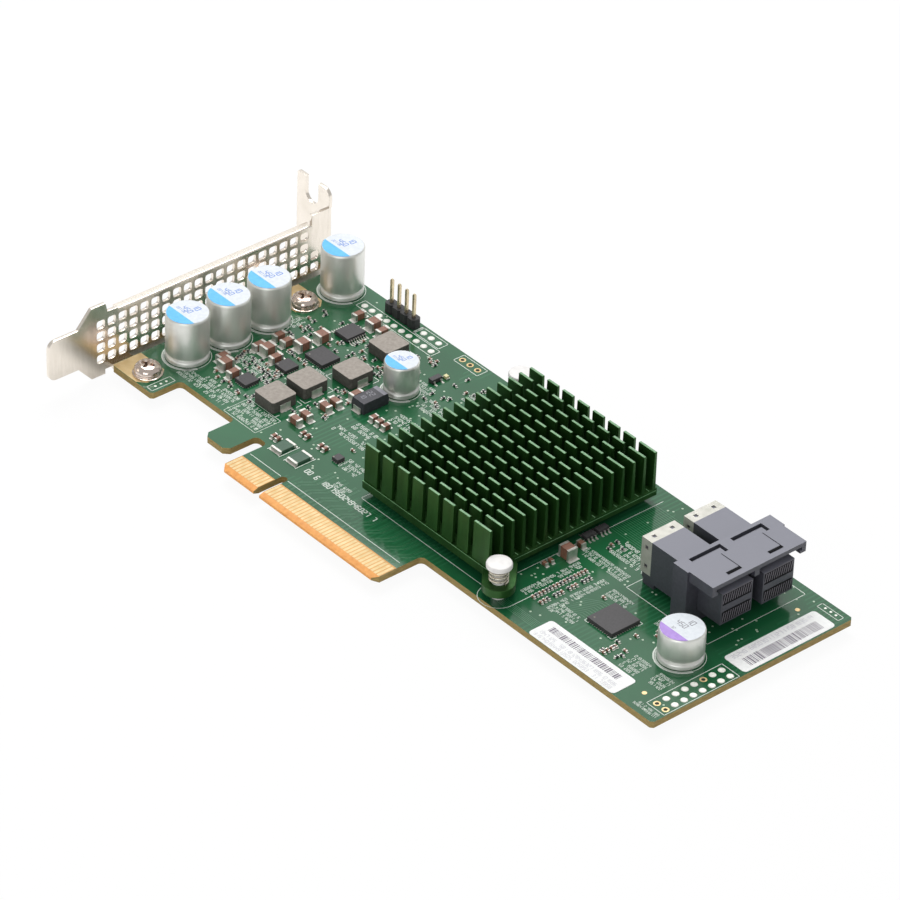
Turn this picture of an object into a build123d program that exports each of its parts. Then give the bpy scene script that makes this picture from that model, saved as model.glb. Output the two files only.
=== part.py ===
"""Low-profile server host bus adapter: a slot card with a perforated bracket, heatsink and two drive ports.

Sizes are in millimetres. X runs along the card from the bracket to the drive ports, Y runs up the
card from the slot fingers, and Z points out of the component side. The origin is the centre of the
key notch, at the edge that enters the slot, on the component side face of the board.
"""
import os

from build123d import *

os.makedirs("parts", exist_ok=True)

# Circuit board outline
board_left = -56.42
board_length = 166.82
board_height = 68.9
board_thickness = 1.57
board_right = board_left + board_length
board_under = -board_thickness
heel_y = 4.84
notch_left = -42.3
notch_top = 12.9
hook_left = -23.4
hook_right = -15.8
hook_y = 4.37
shoulder_y = 12.8
corner_chamfer = 0.6
inner_radius = 1.2
finger_chamfer = 1.2

# Height of board that the small parts' places are drawn on
drawn_height = 68.9

# Slot fingers
finger_left = -12.15
finger_right = 39.15
key_width = 1.9
key_top = 8.25
bevel_length = 1.3
bevel_depth = 0.47

# Slot bracket, a folded sheet
sheet = 0.86
bracket_gap = 1.78
bracket_length = 79.2
tongue_tip_y = -10.95
tongue_length = 8.0
tongue_width = 10.19
tongue_centre_z = 5.97
tongue_radius = 2.0
wide_width = 18.42
wide_centre_z = 6.08
wide_start_y = 0.7
wide_end_y = 4.4
plate_bottom_z = -1.9
lip_top_z = 12.55
lip_depth = 1.15
lip_start_y = 8.0
lip_to_tab = 5.75
end_top_z = 15.2
hole_size = 2.2
hole_pitch_z = 2.99
hole_columns = 20
hole_rows = 4
first_hole_y = 3.23
first_hole_z = 1.3
last_hole_to_tab = 4.82
tab_depth = 11.3
tab_top_z = 19.8
tab_corner = 2.2
slot_width = 4.42
slot_bottom_z = 13.6
outer_prong = 3.0
foot_width = 8.0
foot_length = 13.2
foot_bend = 0.45

# Bracket screws
screw_x = board_left + 7.25
lower_screw_y = 9.1
screw_from_top = 15.7
upper_screw_y = board_height - screw_from_top
screw_head_radius = 3.15
screw_head_height = 2.6
screw_shank_radius = 1.45
screw_below_foot = 0.5
hole_clearance = 0.1

# Controller chip and heatsink
chip_x = 34.7
chip_y = 40.75
chip_size = 23.0
chip_height = 1.5
thermal_pad_size = 20.0
thermal_pad_height = 0.25
sink_length = 40.4
sink_width = 47.6
sink_base = 1.95
fin_height = 9.4
fin_rows = 16
fin_thickness = 0.9
fin_cut = 1.43
first_fin = 4.3
middle_fins = 6
last_fin = 5.2
end_ledge = 0.1
side_ledge = 0.4
lug_beyond_end = 4.4
lug_reach_y = 24.45
lug_width = 7.1
lug_run = 6.0
sink_bottom_z = chip_height + thermal_pad_height
sink_top_z = sink_bottom_z + sink_base
sink_right = chip_x + sink_length / 2
lug_reach_x = sink_length / 2 + lug_beyond_end
fin_block_length = sink_length - 2 * end_ledge
fin_block_left = chip_x - fin_block_length / 2
middle_fin = (fin_block_length - first_fin - last_fin - (middle_fins + 1) * fin_cut) / middle_fins
fin_row_pitch = (sink_width - 2 * side_ledge - fin_thickness) / (fin_rows - 1)

# Push pins
pin_radius = 1.5
pin_hole_clearance = 0.1
pin_head_radius = 2.8
pin_head_height = 1.4
pin_dome = 0.35
pin_seat_height = 3.8
barb_radius = 2.0
barb_tip_radius = 1.0
barb_length = 2.1
pin_play = 0.1

# Polymer capacitors by the bracket, by the heatsink and by the drive ports
can_radius = 4.95
can_height = 11.6
corner_can_height = 12.1
small_can_radius = 3.95
small_can_height = 8.0
low_can_height = 7.6
can_column_x = board_left + 7.4
can_column_shares = (0.346, 0.543, 0.728)
corner_can_x = board_left + 8.1
corner_can_y = board_height - 5.5
small_can_x = -10.1
small_can_y = 48.5
low_can_from_end = 12.55
low_can_x = board_right - low_can_from_end
low_can_below_frame = 7.3

# Four-pin header
header_pins_count = 4
header_pitch = 2.54
header_x = -31.3
header_y = board_height - 2.15
header_body = 2.5
header_corner = 0.5
pin_side = 0.64
pin_top_z = 8.6
pin_tail = 1.3

# Two-port drive connector
port_front_from_end = 12.4
port_front_x = board_right - port_front_from_end
frame_from_top = 2.4
frame_width = 27.15
frame_high_y = board_height - frame_from_top
frame_low_y = frame_high_y - frame_width
port_centres = (7.6, 19.25)
port_centre_y = [frame_low_y + centre for centre in port_centres]
module_width = 9.0
module_top_z = 11.9
module_lift = 1.7
module_reach = 24.1
module_rear_x = port_front_x - module_reach
frame_reach = 11.4
frame_rear_x = port_front_x - frame_reach
frame_depth = 4.4
roof_top_z = 13.9
roof_thickness = 1.0
roof_side_step = 0.45
skirt_drop = 2.5
skirt_thickness = 1.1
skirt_flange = 1.6
skirt_lip = 0.6
rib_width = 1.3
rib_centre = 12.95
port_width = 8.7
port_bottom_z = 3.1
port_top_z = 11.0
card_slot_width = 7.3
card_slot_height = 1.1
card_slot_depth = 5.0
card_slot_z = (8.35, 5.75)
groove_count = 9
groove_pitch = 0.75
groove_width = 0.4
groove_height = 1.5
window_rear = 1.0
window_bar = 1.1
window_arm_length = 2.7
window_arm_width = 0.9
window_depth = 1.0
module_seat = 1.0
clip_length = 3.05
clip_sheet = 0.3
clip_bottom_z = 3.3
clip_hole = 0.9
clip_hole_spacing = 5.0
clip_side_hole_z = (9.9, 5.2)
module_foot_inset = 0.6
module_foot_length = 3.4

# Power inductors
inductor_places = ((-23.3, 24.0), (-23.3, 32.8), (-20.1, 43.1), (-23.0, 55.8))
inductor_length = 6.7
inductor_width = 6.8
inductor_height = 2.8
inductor_corner = 0.45
inductor_terminal_width = 2.9
inductor_terminal_height = 1.7
terminal_thickness = 0.2

# Tantalum capacitor
tantalum_x = -9.8
tantalum_drawn_y = 39.5
tantalum_width = 4.1
tantalum_length = 7.3
tantalum_height = 2.75
tantalum_draft = 0.25
tantalum_terminal_width = 2.4
tantalum_terminal_height = 1.3

# Leaded chips: place and body size
leaded_chips = {
    "timing_chip": (-33.5, 53.5, 4.4, 5.2),
    "driver_chip": (sink_right + 0.7, 48.35, 1.6, 2.9),
    "sense_chip": (sink_right + 0.7, 44.75, 1.6, 2.9),
    "transistor": (-8.2, 56.7, 1.4, 2.9),
}
leaded_body_height = 1.0
leaded_standoff = 0.1

# Flat chips: place, size and height
flat_chips = {
    "power_chip_1": (-29.9, 42.6, 6.0, 5.2, 1.0),
    "power_chip_2": (-32.1, 34.3, 3.8, 3.8, 0.9),
    "power_chip_3": (-33.2, 24.0, 3.8, 3.8, 0.9),
    "logic_chip": (80.7, 29.15, 7.6, 7.9, 0.95),
    "sensor_chip": (1.8, 21.0, 2.0, 2.0, 0.9),
}

# Indicator lamp and fuses
lamp_x = -7.6
lamp_y = 59.3
lamp_length = 1.6
lamp_width = 1.0
lamp_height = 0.8
fuse_places = ((-8.85, 14.6), (-3.4, 14.6))
fuse_width = 3.1
fuse_length = 4.6
fuse_height = 0.8

# Ceramic capacitors: length, width and height of each size, and the places of each
ceramic_sizes = {
    "small": (1.6, 0.8, 0.8),
    "medium": (2.0, 1.25, 1.25),
    "large": (3.2, 1.6, 1.6),
    "wide": (3.2, 2.5, 2.1),
    "tall": (3.2, 2.5, 2.8),
}
ceramics_along_y = {
    "large": (
        (-37.4, 59.25), (-29.2, 59.25), (-39.0, 40.0), (-41.8, 40.1), (-41.6, 34.2),
        (-35.6, 34.1), (-36.8, 23.2), (-43.1, 25.3), (-13.9, 38.9),
    ),
    "wide": ((-32.5, 59.5), (-35.7, 47.25), (-35.9, 41.9), (-39.2, 34.8), (-40.5, 23.9)),
    "medium": ((-4.9, 36.5), (-2.9, 36.5), (-0.9, 36.5)),
    "small": ((-10.1, 21.1), (-8.6, 21.1), (-4.2, 21.1), (-2.7, 21.1), (-13.2, 15.5), (-11.9, 15.5)),
}
ceramics_along_x = {
    "large": ((-14.5, 33.6), (-14.5, 30.8), (-14.5, 25.4), (-14.5, 22.55)),
    "medium": ((sink_right + 2.1, 41.3),),
    "small": ((sink_right + 2.3, 32.7), (sink_right + 2.3, 31.0)),
    "tall": ((sink_right + 3.1, 36.7),),
}

# Paper labels: place and size
bottom_label_from_end = 24.85
labels = {
    "bottom_label": (board_right - bottom_label_from_end, 16.18, 26.1, 6.65),
    "end_label": (board_right - 3.7, 51.55, 6.6, 25.7),
}
label_thickness = 0.1
label_corner = 0.6


def up(y):
    """A small part's place, drawn on a board of the drawn height, on a board of this height."""
    return y * board_height / drawn_height


# Places that several parts share
plate_inner_x = board_left - bracket_gap
plate_outer_x = plate_inner_x - sheet
tab_outer_y = tongue_tip_y + bracket_length
lip_end_y = tab_outer_y - lip_to_tab
hole_pitch_y = (tab_outer_y - last_hole_to_tab - first_hole_y) / hole_columns
screw_places = ((screw_x, lower_screw_y), (screw_x, upper_screw_y))
push_pin_places = (
    (chip_x + lug_reach_x, chip_y - lug_reach_y),
    (chip_x - lug_reach_x, chip_y + lug_reach_y),
)
header_places = [
    (header_x + (number - (header_pins_count - 1) / 2) * header_pitch, header_y)
    for number in range(header_pins_count)
]
can_to_screw = can_radius + screw_head_radius
column_room = upper_screw_y - lower_screw_y - 2 * can_to_screw - 4 * can_radius
can_column_y = [
    lower_screw_y + can_to_screw + 2 * can_radius * number + share * column_room
    for number, share in enumerate(can_column_shares)
]
cans = [(can_column_x, y, can_radius, can_height) for y in can_column_y]
cans.append((corner_can_x, corner_can_y, can_radius, corner_can_height))
cans.append((small_can_x, up(small_can_y), small_can_radius, small_can_height))
cans.append((low_can_x, frame_low_y - low_can_below_frame, can_radius, low_can_height))


def nearest(shapes, *point):
    """The vertex or edge of a shape list that lies closest to a point."""
    return shapes.sort_by_distance(Vector(*point))[0]


# Circuit board: outline with its steps, notches and holes, and the bevel that eases it into the slot
with BuildPart() as circuit_board:
    with BuildSketch() as board_outline:
        with BuildLine():
            Polyline(
                (board_left, heel_y), (notch_left, heel_y), (notch_left, notch_top), (hook_left, notch_top),
                (hook_left, hook_y), (hook_right, hook_y), (hook_right, shoulder_y), (finger_left, shoulder_y),
                (finger_left, 0), (finger_right, 0), (finger_right, shoulder_y), (board_right, shoulder_y),
                (board_right, board_height), (board_left, board_height), close=True,
            )
        make_face()
        fillet(
            [
                nearest(board_outline.vertices(), x, y)
                for x, y in (
                    (notch_left, notch_top), (hook_left, notch_top), (hook_right, shoulder_y),
                    (finger_left, shoulder_y), (finger_right, shoulder_y),
                )
            ],
            radius=inner_radius,
        )
        chamfer(
            [
                nearest(board_outline.vertices(), x, y)
                for x, y in (
                    (board_left, heel_y), (notch_left, heel_y), (board_right, shoulder_y),
                    (board_right, board_height), (board_left, board_height),
                )
            ],
            length=corner_chamfer,
        )
        chamfer(
            [
                nearest(board_outline.vertices(), x, y)
                for x, y in ((hook_left, hook_y), (hook_right, hook_y), (finger_left, 0), (finger_right, 0))
            ],
            length=finger_chamfer,
        )
        with Locations((0, key_top - key_width / 2)):
            Circle(key_width / 2, mode=Mode.SUBTRACT)
        with Locations((0, (key_top - key_width / 2) / 2)):
            Rectangle(key_width, key_top - key_width / 2, mode=Mode.SUBTRACT)
        with Locations(*screw_places):
            Circle(screw_shank_radius + hole_clearance, mode=Mode.SUBTRACT)
        with Locations(*push_pin_places):
            Circle(pin_radius + pin_hole_clearance, mode=Mode.SUBTRACT)
        with Locations(*header_places):
            Rectangle(pin_side, pin_side, mode=Mode.SUBTRACT)
    extrude(amount=-board_thickness)
    with BuildSketch(Plane.YZ.offset(finger_left)):
        Polygon((0, 0), (bevel_length, 0), (0, -bevel_depth), align=None)
        Polygon(
            (0, board_under), (0, board_under + bevel_depth), (bevel_length, board_under), align=None
        )
    extrude(amount=finger_right - finger_left, mode=Mode.SUBTRACT)
circuit_board.part.label = "circuit_board"
export_step(circuit_board.part, "parts/circuit_board.step")

# Slot bracket: perforated plate with its tongue
wide_top_z = wide_centre_z + wide_width / 2
wide_bottom_z = wide_centre_z - wide_width / 2
tongue_top_z = tongue_centre_z + tongue_width / 2
tongue_bottom_z = tongue_centre_z - tongue_width / 2
tongue_end_y = tongue_tip_y + tongue_length
foot_bottom_z = board_under - sheet
with BuildPart() as io_bracket:
    with BuildSketch(Plane.YZ.offset(plate_inner_x)) as plate_outline:
        with BuildLine():
            Polyline(
                (tongue_tip_y, tongue_bottom_z), (tongue_end_y, tongue_bottom_z), (wide_start_y, wide_bottom_z),
                (wide_end_y, wide_bottom_z), (wide_end_y, plate_bottom_z), (tab_outer_y, plate_bottom_z),
                (tab_outer_y, end_top_z), (lip_end_y, end_top_z), (lip_end_y, lip_top_z - sheet),
                (wide_end_y, lip_top_z - sheet), (wide_end_y, wide_top_z), (wide_start_y, wide_top_z),
                (tongue_end_y, tongue_top_z), (tongue_tip_y, tongue_top_z), close=True,
            )
        make_face()
        fillet(
            [nearest(plate_outline.vertices(), tongue_tip_y, z) for z in (tongue_bottom_z, tongue_top_z)],
            radius=tongue_radius,
        )
        with Locations(
            (first_hole_y + (hole_columns - 1) * hole_pitch_y / 2, first_hole_z + (hole_rows - 1) * hole_pitch_z / 2)
        ):
            with GridLocations(hole_pitch_y, hole_pitch_z, hole_columns, hole_rows):
                Rectangle(hole_size, hole_size, mode=Mode.SUBTRACT)
        with Locations((first_hole_y + hole_columns * hole_pitch_y, first_hole_z + hole_pitch_z / 2)):
            with GridLocations(1, hole_pitch_z, 1, 2):
                Rectangle(hole_size, hole_size, mode=Mode.SUBTRACT)
        with Locations(*[(y, (plate_bottom_z + foot_bottom_z) / 2) for x, y in screw_places]):
            Rectangle(foot_width, plate_bottom_z - foot_bottom_z)
    extrude(amount=-sheet)
    with BuildSketch(Plane.XZ.offset(-lip_start_y)) as lip_section:
        with Locations((plate_inner_x - (sheet + lip_depth) / 2, lip_top_z - sheet / 2)):
            Rectangle(sheet + lip_depth, sheet)
        fillet(nearest(lip_section.vertices(), plate_inner_x, lip_top_z), radius=sheet * 0.9)
    extrude(amount=lip_start_y - lip_end_y)
    with BuildSketch(Plane.XZ.offset(-tab_outer_y)) as tab_outline:
        with Locations((plate_inner_x - tab_depth / 2, (plate_bottom_z + tab_top_z) / 2)):
            Rectangle(tab_depth, tab_top_z - plate_bottom_z)
        fillet(nearest(tab_outline.vertices(), plate_inner_x, tab_top_z), radius=tab_corner)
        slot_centre_x = plate_inner_x - tab_depth + outer_prong + slot_width / 2
        with Locations((slot_centre_x, slot_bottom_z + slot_width / 2)):
            Circle(slot_width / 2, mode=Mode.SUBTRACT)
        with Locations((slot_centre_x, (slot_bottom_z + slot_width / 2 + tab_top_z) / 2)):
            Rectangle(slot_width, tab_top_z - slot_bottom_z - slot_width / 2, mode=Mode.SUBTRACT)
    extrude(amount=sheet)
    with BuildSketch(Plane.XY.offset(foot_bottom_z)):
        with Locations(*[(plate_outer_x + (sheet + foot_length) / 2, y) for x, y in screw_places]):
            Rectangle(sheet + foot_length, foot_width)
        with Locations(*screw_places):
            Circle(screw_shank_radius + hole_clearance / 2, mode=Mode.SUBTRACT)
    extrude(amount=sheet)
    fillet(
        [nearest(io_bracket.edges().filter_by(Axis.Y), plate_outer_x, y, foot_bottom_z) for x, y in screw_places],
        radius=foot_bend,
    )
    fillet(
        nearest(io_bracket.edges().filter_by(Axis.Z), plate_inner_x, tab_outer_y, end_top_z / 2),
        radius=sheet * 0.9,
    )
io_bracket.part.label = "io_bracket"
export_step(io_bracket.part, "parts/io_bracket.step")

# Bracket screws: heads on the board, shanks through it into the bracket's feet
with BuildPart() as bracket_screws:
    for x, y in screw_places:
        with BuildSketch():
            with Locations((x, y)):
                Circle(screw_head_radius)
        extrude(amount=screw_head_height)
        with BuildSketch():
            with Locations((x, y)):
                Circle(screw_shank_radius)
        extrude(amount=foot_bottom_z - screw_below_foot)
bracket_screws.part.label = "bracket_screws"
export_step(bracket_screws.part, "parts/bracket_screws.step")

# Controller chip and the pad that carries its heat
with BuildPart() as controller_chip:
    with BuildSketch():
        with Locations((chip_x, chip_y)):
            Rectangle(chip_size, chip_size)
    extrude(amount=chip_height)
controller_chip.part.label = "controller_chip"
export_step(controller_chip.part, "parts/controller_chip.step")

with BuildPart() as thermal_pad:
    with BuildSketch(Plane.XY.offset(chip_height)):
        with Locations((chip_x, chip_y)):
            Rectangle(thermal_pad_size, thermal_pad_size)
    extrude(amount=thermal_pad_height)
thermal_pad.part.label = "thermal_pad"
export_step(thermal_pad.part, "parts/thermal_pad.step")

# Heatsink: base with a lug at two corners, and ribs cut across into pins
cut_starts = [fin_block_left + first_fin + number * (middle_fin + fin_cut) for number in range(middle_fins + 1)]
with BuildPart() as heatsink:
    with BuildSketch(Plane.XY.offset(sink_bottom_z)):
        with Locations((chip_x, chip_y)):
            Rectangle(sink_length, sink_width)
        for x, y in push_pin_places:
            inward = Vector(chip_x - x, chip_y - y).normalized() * lug_run
            SlotCenterPoint((x + inward.X / 2, y + inward.Y / 2), (x, y), lug_width)
        with Locations(*push_pin_places):
            Circle(pin_radius + pin_hole_clearance, mode=Mode.SUBTRACT)
    extrude(amount=sink_base)
    with BuildSketch(Plane.XY.offset(sink_top_z)):
        with Locations((chip_x, chip_y)):
            with GridLocations(1, fin_row_pitch, 1, fin_rows):
                Rectangle(fin_block_length, fin_thickness)
        with Locations(*[(start + fin_cut / 2, chip_y) for start in cut_starts]):
            Rectangle(fin_cut, sink_width, mode=Mode.SUBTRACT)
    extrude(amount=fin_height)
heatsink.part.label = "heatsink"
export_step(heatsink.part, "parts/heatsink.step")

# Push pins: domed head, shaft, and a barb that snaps under the board
pin_seat_z = sink_top_z + pin_seat_height
barb_top_z = board_under - pin_play
barb_tip_z = barb_top_z - barb_length
with BuildPart() as push_pins:
    for x, y in push_pin_places:
        with BuildSketch(Plane(origin=(x, y, 0), x_dir=(1, 0, 0), z_dir=(0, -1, 0))):
            Polygon(
                (0, barb_tip_z), (barb_tip_radius, barb_tip_z), (barb_radius, barb_top_z),
                (pin_radius, barb_top_z), (pin_radius, pin_seat_z), (pin_head_radius, pin_seat_z),
                (pin_head_radius - pin_dome, pin_seat_z + pin_head_height), (0, pin_seat_z + pin_head_height),
                align=None,
            )
        revolve(axis=Axis((x, y, 0), (0, 0, 1)))
push_pins.part.label = "push_pins"
export_step(push_pins.part, "parts/push_pins.step")

# Polymer capacitors: sealed cans
with BuildPart() as capacitor_cans:
    for x, y, radius, height in cans:
        with BuildSketch():
            with Locations((x, y)):
                Circle(radius)
        extrude(amount=height)
capacitor_cans.part.label = "capacitor_cans"
export_step(capacitor_cans.part, "parts/capacitor_cans.step")

# Four-pin header: housing with a notch between the pins, and square pins through the board
with BuildPart() as header_housing:
    with BuildSketch() as housing_outline:
        for x, y in header_places:
            with BuildSketch(mode=Mode.PRIVATE) as cell:
                with Locations((x, y)):
                    Rectangle(header_pitch, header_body)
                chamfer(cell.vertices(), length=header_corner)
            add(cell.sketch)
        with Locations(*header_places):
            Rectangle(pin_side, pin_side, mode=Mode.SUBTRACT)
    extrude(amount=header_body)
header_housing.part.label = "header_housing"
export_step(header_housing.part, "parts/header_housing.step")

with BuildPart() as header_pins:
    with BuildSketch(Plane.XY.offset(board_under - pin_tail)):
        with Locations(*header_places):
            Rectangle(pin_side, pin_side)
    extrude(amount=pin_tail + board_thickness + pin_top_z)
header_pins.part.label = "header_pins"
export_step(header_pins.part, "parts/header_pins.step")

# Drive connector, front moulding: frame across both ports, roof with skirts, and the two port blocks
frame_front_x = frame_rear_x + frame_depth
roof_low_y = frame_low_y + roof_side_step
roof_high_y = frame_high_y - roof_side_step
frame_centre_y = (frame_low_y + frame_high_y) / 2
with BuildPart() as connector_housing:
    with BuildSketch(Plane.YZ.offset(frame_rear_x)):
        with Locations((frame_centre_y, roof_top_z / 2)):
            Rectangle(frame_high_y - frame_low_y, roof_top_z)
    extrude(amount=frame_depth)
    with BuildSketch(Plane.YZ.offset(frame_front_x)) as roof_section:
        with Locations((frame_centre_y, roof_top_z - roof_thickness / 2)):
            Rectangle(roof_high_y - roof_low_y, roof_thickness)
        for edge_y, inward in ((roof_low_y, 1), (roof_high_y, -1)):
            with Locations((edge_y + inward * skirt_thickness / 2, roof_top_z - skirt_drop / 2)):
                Rectangle(skirt_thickness, skirt_drop)
            with Locations((edge_y + inward * skirt_flange / 2, roof_top_z - skirt_drop + skirt_lip / 2)):
                Rectangle(skirt_flange, skirt_lip)
        with Locations((frame_low_y + rib_centre, roof_top_z - skirt_drop / 2)):
            Rectangle(rib_width, skirt_drop)
    extrude(amount=port_front_x - frame_front_x)
    with BuildSketch(Plane.YZ.offset(frame_front_x)):
        with Locations(*[(y, (port_bottom_z + port_top_z) / 2) for y in port_centre_y]):
            Rectangle(port_width, port_top_z - port_bottom_z)
    extrude(amount=port_front_x - frame_front_x)
    with BuildSketch(Plane.YZ.offset(port_front_x)):
        for slot_z, outward in zip(card_slot_z, (1, -1)):
            with Locations(*[(y, slot_z) for y in port_centre_y]):
                Rectangle(card_slot_width, card_slot_height)
            groove_z = slot_z + outward * (card_slot_height + groove_height) / 2
            for y in port_centre_y:
                with Locations((y, groove_z)):
                    with GridLocations(groove_pitch, 1, groove_count, 1):
                        Rectangle(groove_width, groove_height)
    extrude(amount=-card_slot_depth, mode=Mode.SUBTRACT)
    with BuildSketch(Plane.XY.offset(roof_top_z)):
        for y in port_centre_y:
            with Locations((frame_rear_x + window_rear + window_bar / 2, y)):
                Rectangle(window_bar, port_width)
            with Locations(
                (frame_rear_x + window_rear + window_arm_length / 2, y + (port_width - window_arm_width) / 2)
            ):
                Rectangle(window_arm_length, window_arm_width)
    extrude(amount=-window_depth, mode=Mode.SUBTRACT)
    with BuildSketch(Plane.YZ.offset(frame_rear_x)):
        with Locations(*[(y, (module_lift + module_top_z) / 2) for y in port_centre_y]):
            Rectangle(module_width, module_top_z - module_lift)
    extrude(amount=module_seat, mode=Mode.SUBTRACT)
connector_housing.part.label = "connector_housing"
export_step(connector_housing.part, "parts/connector_housing.step")

# Drive connector, rear: each contact module on its feet, with a folded clip over its end
module_end_x = frame_rear_x + module_seat
for number, y in enumerate(port_centre_y, start=1):
    with BuildPart() as contact_module:
        with BuildSketch(Plane.YZ.offset(module_rear_x + clip_length)):
            with Locations((y, (module_lift + module_top_z) / 2)):
                Rectangle(module_width, module_top_z - module_lift)
        extrude(amount=module_end_x - module_rear_x - clip_length)
        with BuildSketch(Plane.YZ.offset(module_rear_x + clip_sheet)):
            with Locations((y, (module_lift + module_top_z - clip_sheet) / 2)):
                Rectangle(module_width - 2 * clip_sheet, module_top_z - clip_sheet - module_lift)
        extrude(amount=clip_length - clip_sheet)
        with BuildSketch():
            with Locations(
                (module_rear_x + clip_sheet + module_foot_length / 2, y),
                (frame_rear_x - module_foot_length / 2, y),
            ):
                Rectangle(module_foot_length, module_width - 2 * module_foot_inset)
        extrude(amount=module_lift)
    contact_module.part.label = f"contact_module_{number}"
    export_step(contact_module.part, f"parts/contact_module_{number}.step")

    with BuildPart() as module_clip:
        with BuildSketch(Plane.YZ.offset(module_rear_x)):
            with Locations((y, (clip_bottom_z + module_top_z) / 2)):
                Rectangle(module_width, module_top_z - clip_bottom_z)
            with Locations((y, (clip_bottom_z + module_top_z - clip_sheet) / 2)):
                Rectangle(
                    module_width - 2 * clip_sheet, module_top_z - clip_sheet - clip_bottom_z, mode=Mode.SUBTRACT
                )
        extrude(amount=clip_length)
        with BuildSketch(Plane.XY.offset(module_top_z)):
            with Locations((module_rear_x + clip_length / 2, y)):
                with GridLocations(1, clip_hole_spacing, 1, 2):
                    Rectangle(clip_hole, clip_hole)
        extrude(amount=-clip_sheet, mode=Mode.SUBTRACT)
        with BuildSketch(Plane.XZ.offset(-y)):
            with Locations(*[(module_rear_x + clip_length / 2, z) for z in clip_side_hole_z]):
                Rectangle(clip_hole, clip_hole)
        extrude(amount=module_width, both=True, mode=Mode.SUBTRACT)
    module_clip.part.label = f"module_clip_{number}"
    export_step(module_clip.part, f"parts/module_clip_{number}.step")

# Power inductors: moulded blocks with a tin terminal on each side
for number, (x, y) in enumerate(inductor_places, start=1):
    with BuildPart() as inductor:
        with BuildSketch() as inductor_outline:
            with Locations((x, up(y))):
                Rectangle(inductor_length, inductor_width)
            chamfer(inductor_outline.vertices(), length=inductor_corner)
        extrude(amount=inductor_height)
    inductor.part.label = f"inductor_{number}"
    export_step(inductor.part, f"parts/inductor_{number}.step")

with BuildPart() as inductor_terminals:
    with BuildSketch():
        for x, y in inductor_places:
            with Locations((x, up(y))):
                with GridLocations(inductor_length + terminal_thickness, 1, 2, 1):
                    Rectangle(terminal_thickness, inductor_terminal_width)
    extrude(amount=inductor_terminal_height)
inductor_terminals.part.label = "inductor_terminals"
export_step(inductor_terminals.part, "parts/inductor_terminals.step")

# Tantalum capacitor: moulded block drawn in towards the top, with end terminals
tantalum_y = up(tantalum_drawn_y)
with BuildPart() as tantalum_capacitor:
    with BuildSketch(Plane.YZ.offset(tantalum_x - tantalum_width / 2)):
        with BuildLine():
            Polyline(
                (tantalum_y - tantalum_length / 2, 0), (tantalum_y + tantalum_length / 2, 0),
                (tantalum_y + tantalum_length / 2, tantalum_terminal_height),
                (tantalum_y + tantalum_length / 2 - tantalum_draft, tantalum_height),
                (tantalum_y - tantalum_length / 2 + tantalum_draft, tantalum_height),
                (tantalum_y - tantalum_length / 2, tantalum_terminal_height), close=True,
            )
        make_face()
    extrude(amount=tantalum_width)
tantalum_capacitor.part.label = "tantalum_capacitor"
export_step(tantalum_capacitor.part, "parts/tantalum_capacitor.step")

with BuildPart() as tantalum_terminals:
    with BuildSketch():
        with Locations((tantalum_x, tantalum_y)):
            with GridLocations(1, tantalum_length + terminal_thickness, 1, 2):
                Rectangle(tantalum_terminal_width, terminal_thickness)
    extrude(amount=tantalum_terminal_height)
tantalum_terminals.part.label = "tantalum_terminals"
export_step(tantalum_terminals.part, "parts/tantalum_terminals.step")

# Leaded chips: moulded bodies just above the board
for name, (x, y, length, width) in leaded_chips.items():
    with BuildPart() as leaded_chip:
        with BuildSketch(Plane.XY.offset(leaded_standoff)):
            with Locations((x, up(y))):
                Rectangle(length, width)
        extrude(amount=leaded_body_height)
    leaded_chip.part.label = name
    export_step(leaded_chip.part, f"parts/{name}.step")

# Flat chips: moulded squares that sit on the board with no leads beyond their edges
for name, (x, y, length, width, height) in flat_chips.items():
    with BuildPart() as flat_chip:
        with BuildSketch():
            with Locations((x, up(y))):
                Rectangle(length, width)
        extrude(amount=height)
    flat_chip.part.label = name
    export_step(flat_chip.part, f"parts/{name}.step")

# Indicator lamp and the two flat fuses near the slot fingers
with BuildPart() as indicator_lamp:
    with BuildSketch():
        with Locations((lamp_x, up(lamp_y))):
            Rectangle(lamp_length, lamp_width)
    extrude(amount=lamp_height)
indicator_lamp.part.label = "indicator_lamp"
export_step(indicator_lamp.part, "parts/indicator_lamp.step")

with BuildPart() as fuses:
    with BuildSketch():
        with Locations(*[(x, up(y)) for x, y in fuse_places]):
            Rectangle(fuse_width, fuse_length)
    extrude(amount=fuse_height)
fuses.part.label = "fuses"
export_step(fuses.part, "parts/fuses.step")

# Ceramic capacitors, one node for each size
for name, (length, width, height) in ceramic_sizes.items():
    with BuildPart() as ceramics:
        with BuildSketch():
            for x, y in ceramics_along_x.get(name, ()):
                with Locations((x, up(y))):
                    Rectangle(length, width)
            for x, y in ceramics_along_y.get(name, ()):
                with Locations((x, up(y))):
                    Rectangle(width, length)
        extrude(amount=height)
    ceramics.part.label = f"{name}_ceramics"
    export_step(ceramics.part, f"parts/{name}_ceramics.step")

# Paper labels
for name, (x, y, length, width) in labels.items():
    with BuildPart() as label:
        with BuildSketch() as label_outline:
            with Locations((x, y)):
                Rectangle(length, width)
            chamfer(label_outline.vertices(), length=label_corner)
        extrude(amount=label_thickness)
    label.part.label = name
    export_step(label.part, f"parts/{name}.step")
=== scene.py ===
"""Looks for the drive host bus adapter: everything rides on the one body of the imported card.

Lengths in the tables are in millimetres and turn into metres in Piece.done. X runs from the bracket
to the drive ports, Y up from the slot fingers, Z out of the component side.
"""
import math
import random

import bmesh
import bpy
from mathutils import Matrix, Vector


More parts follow.
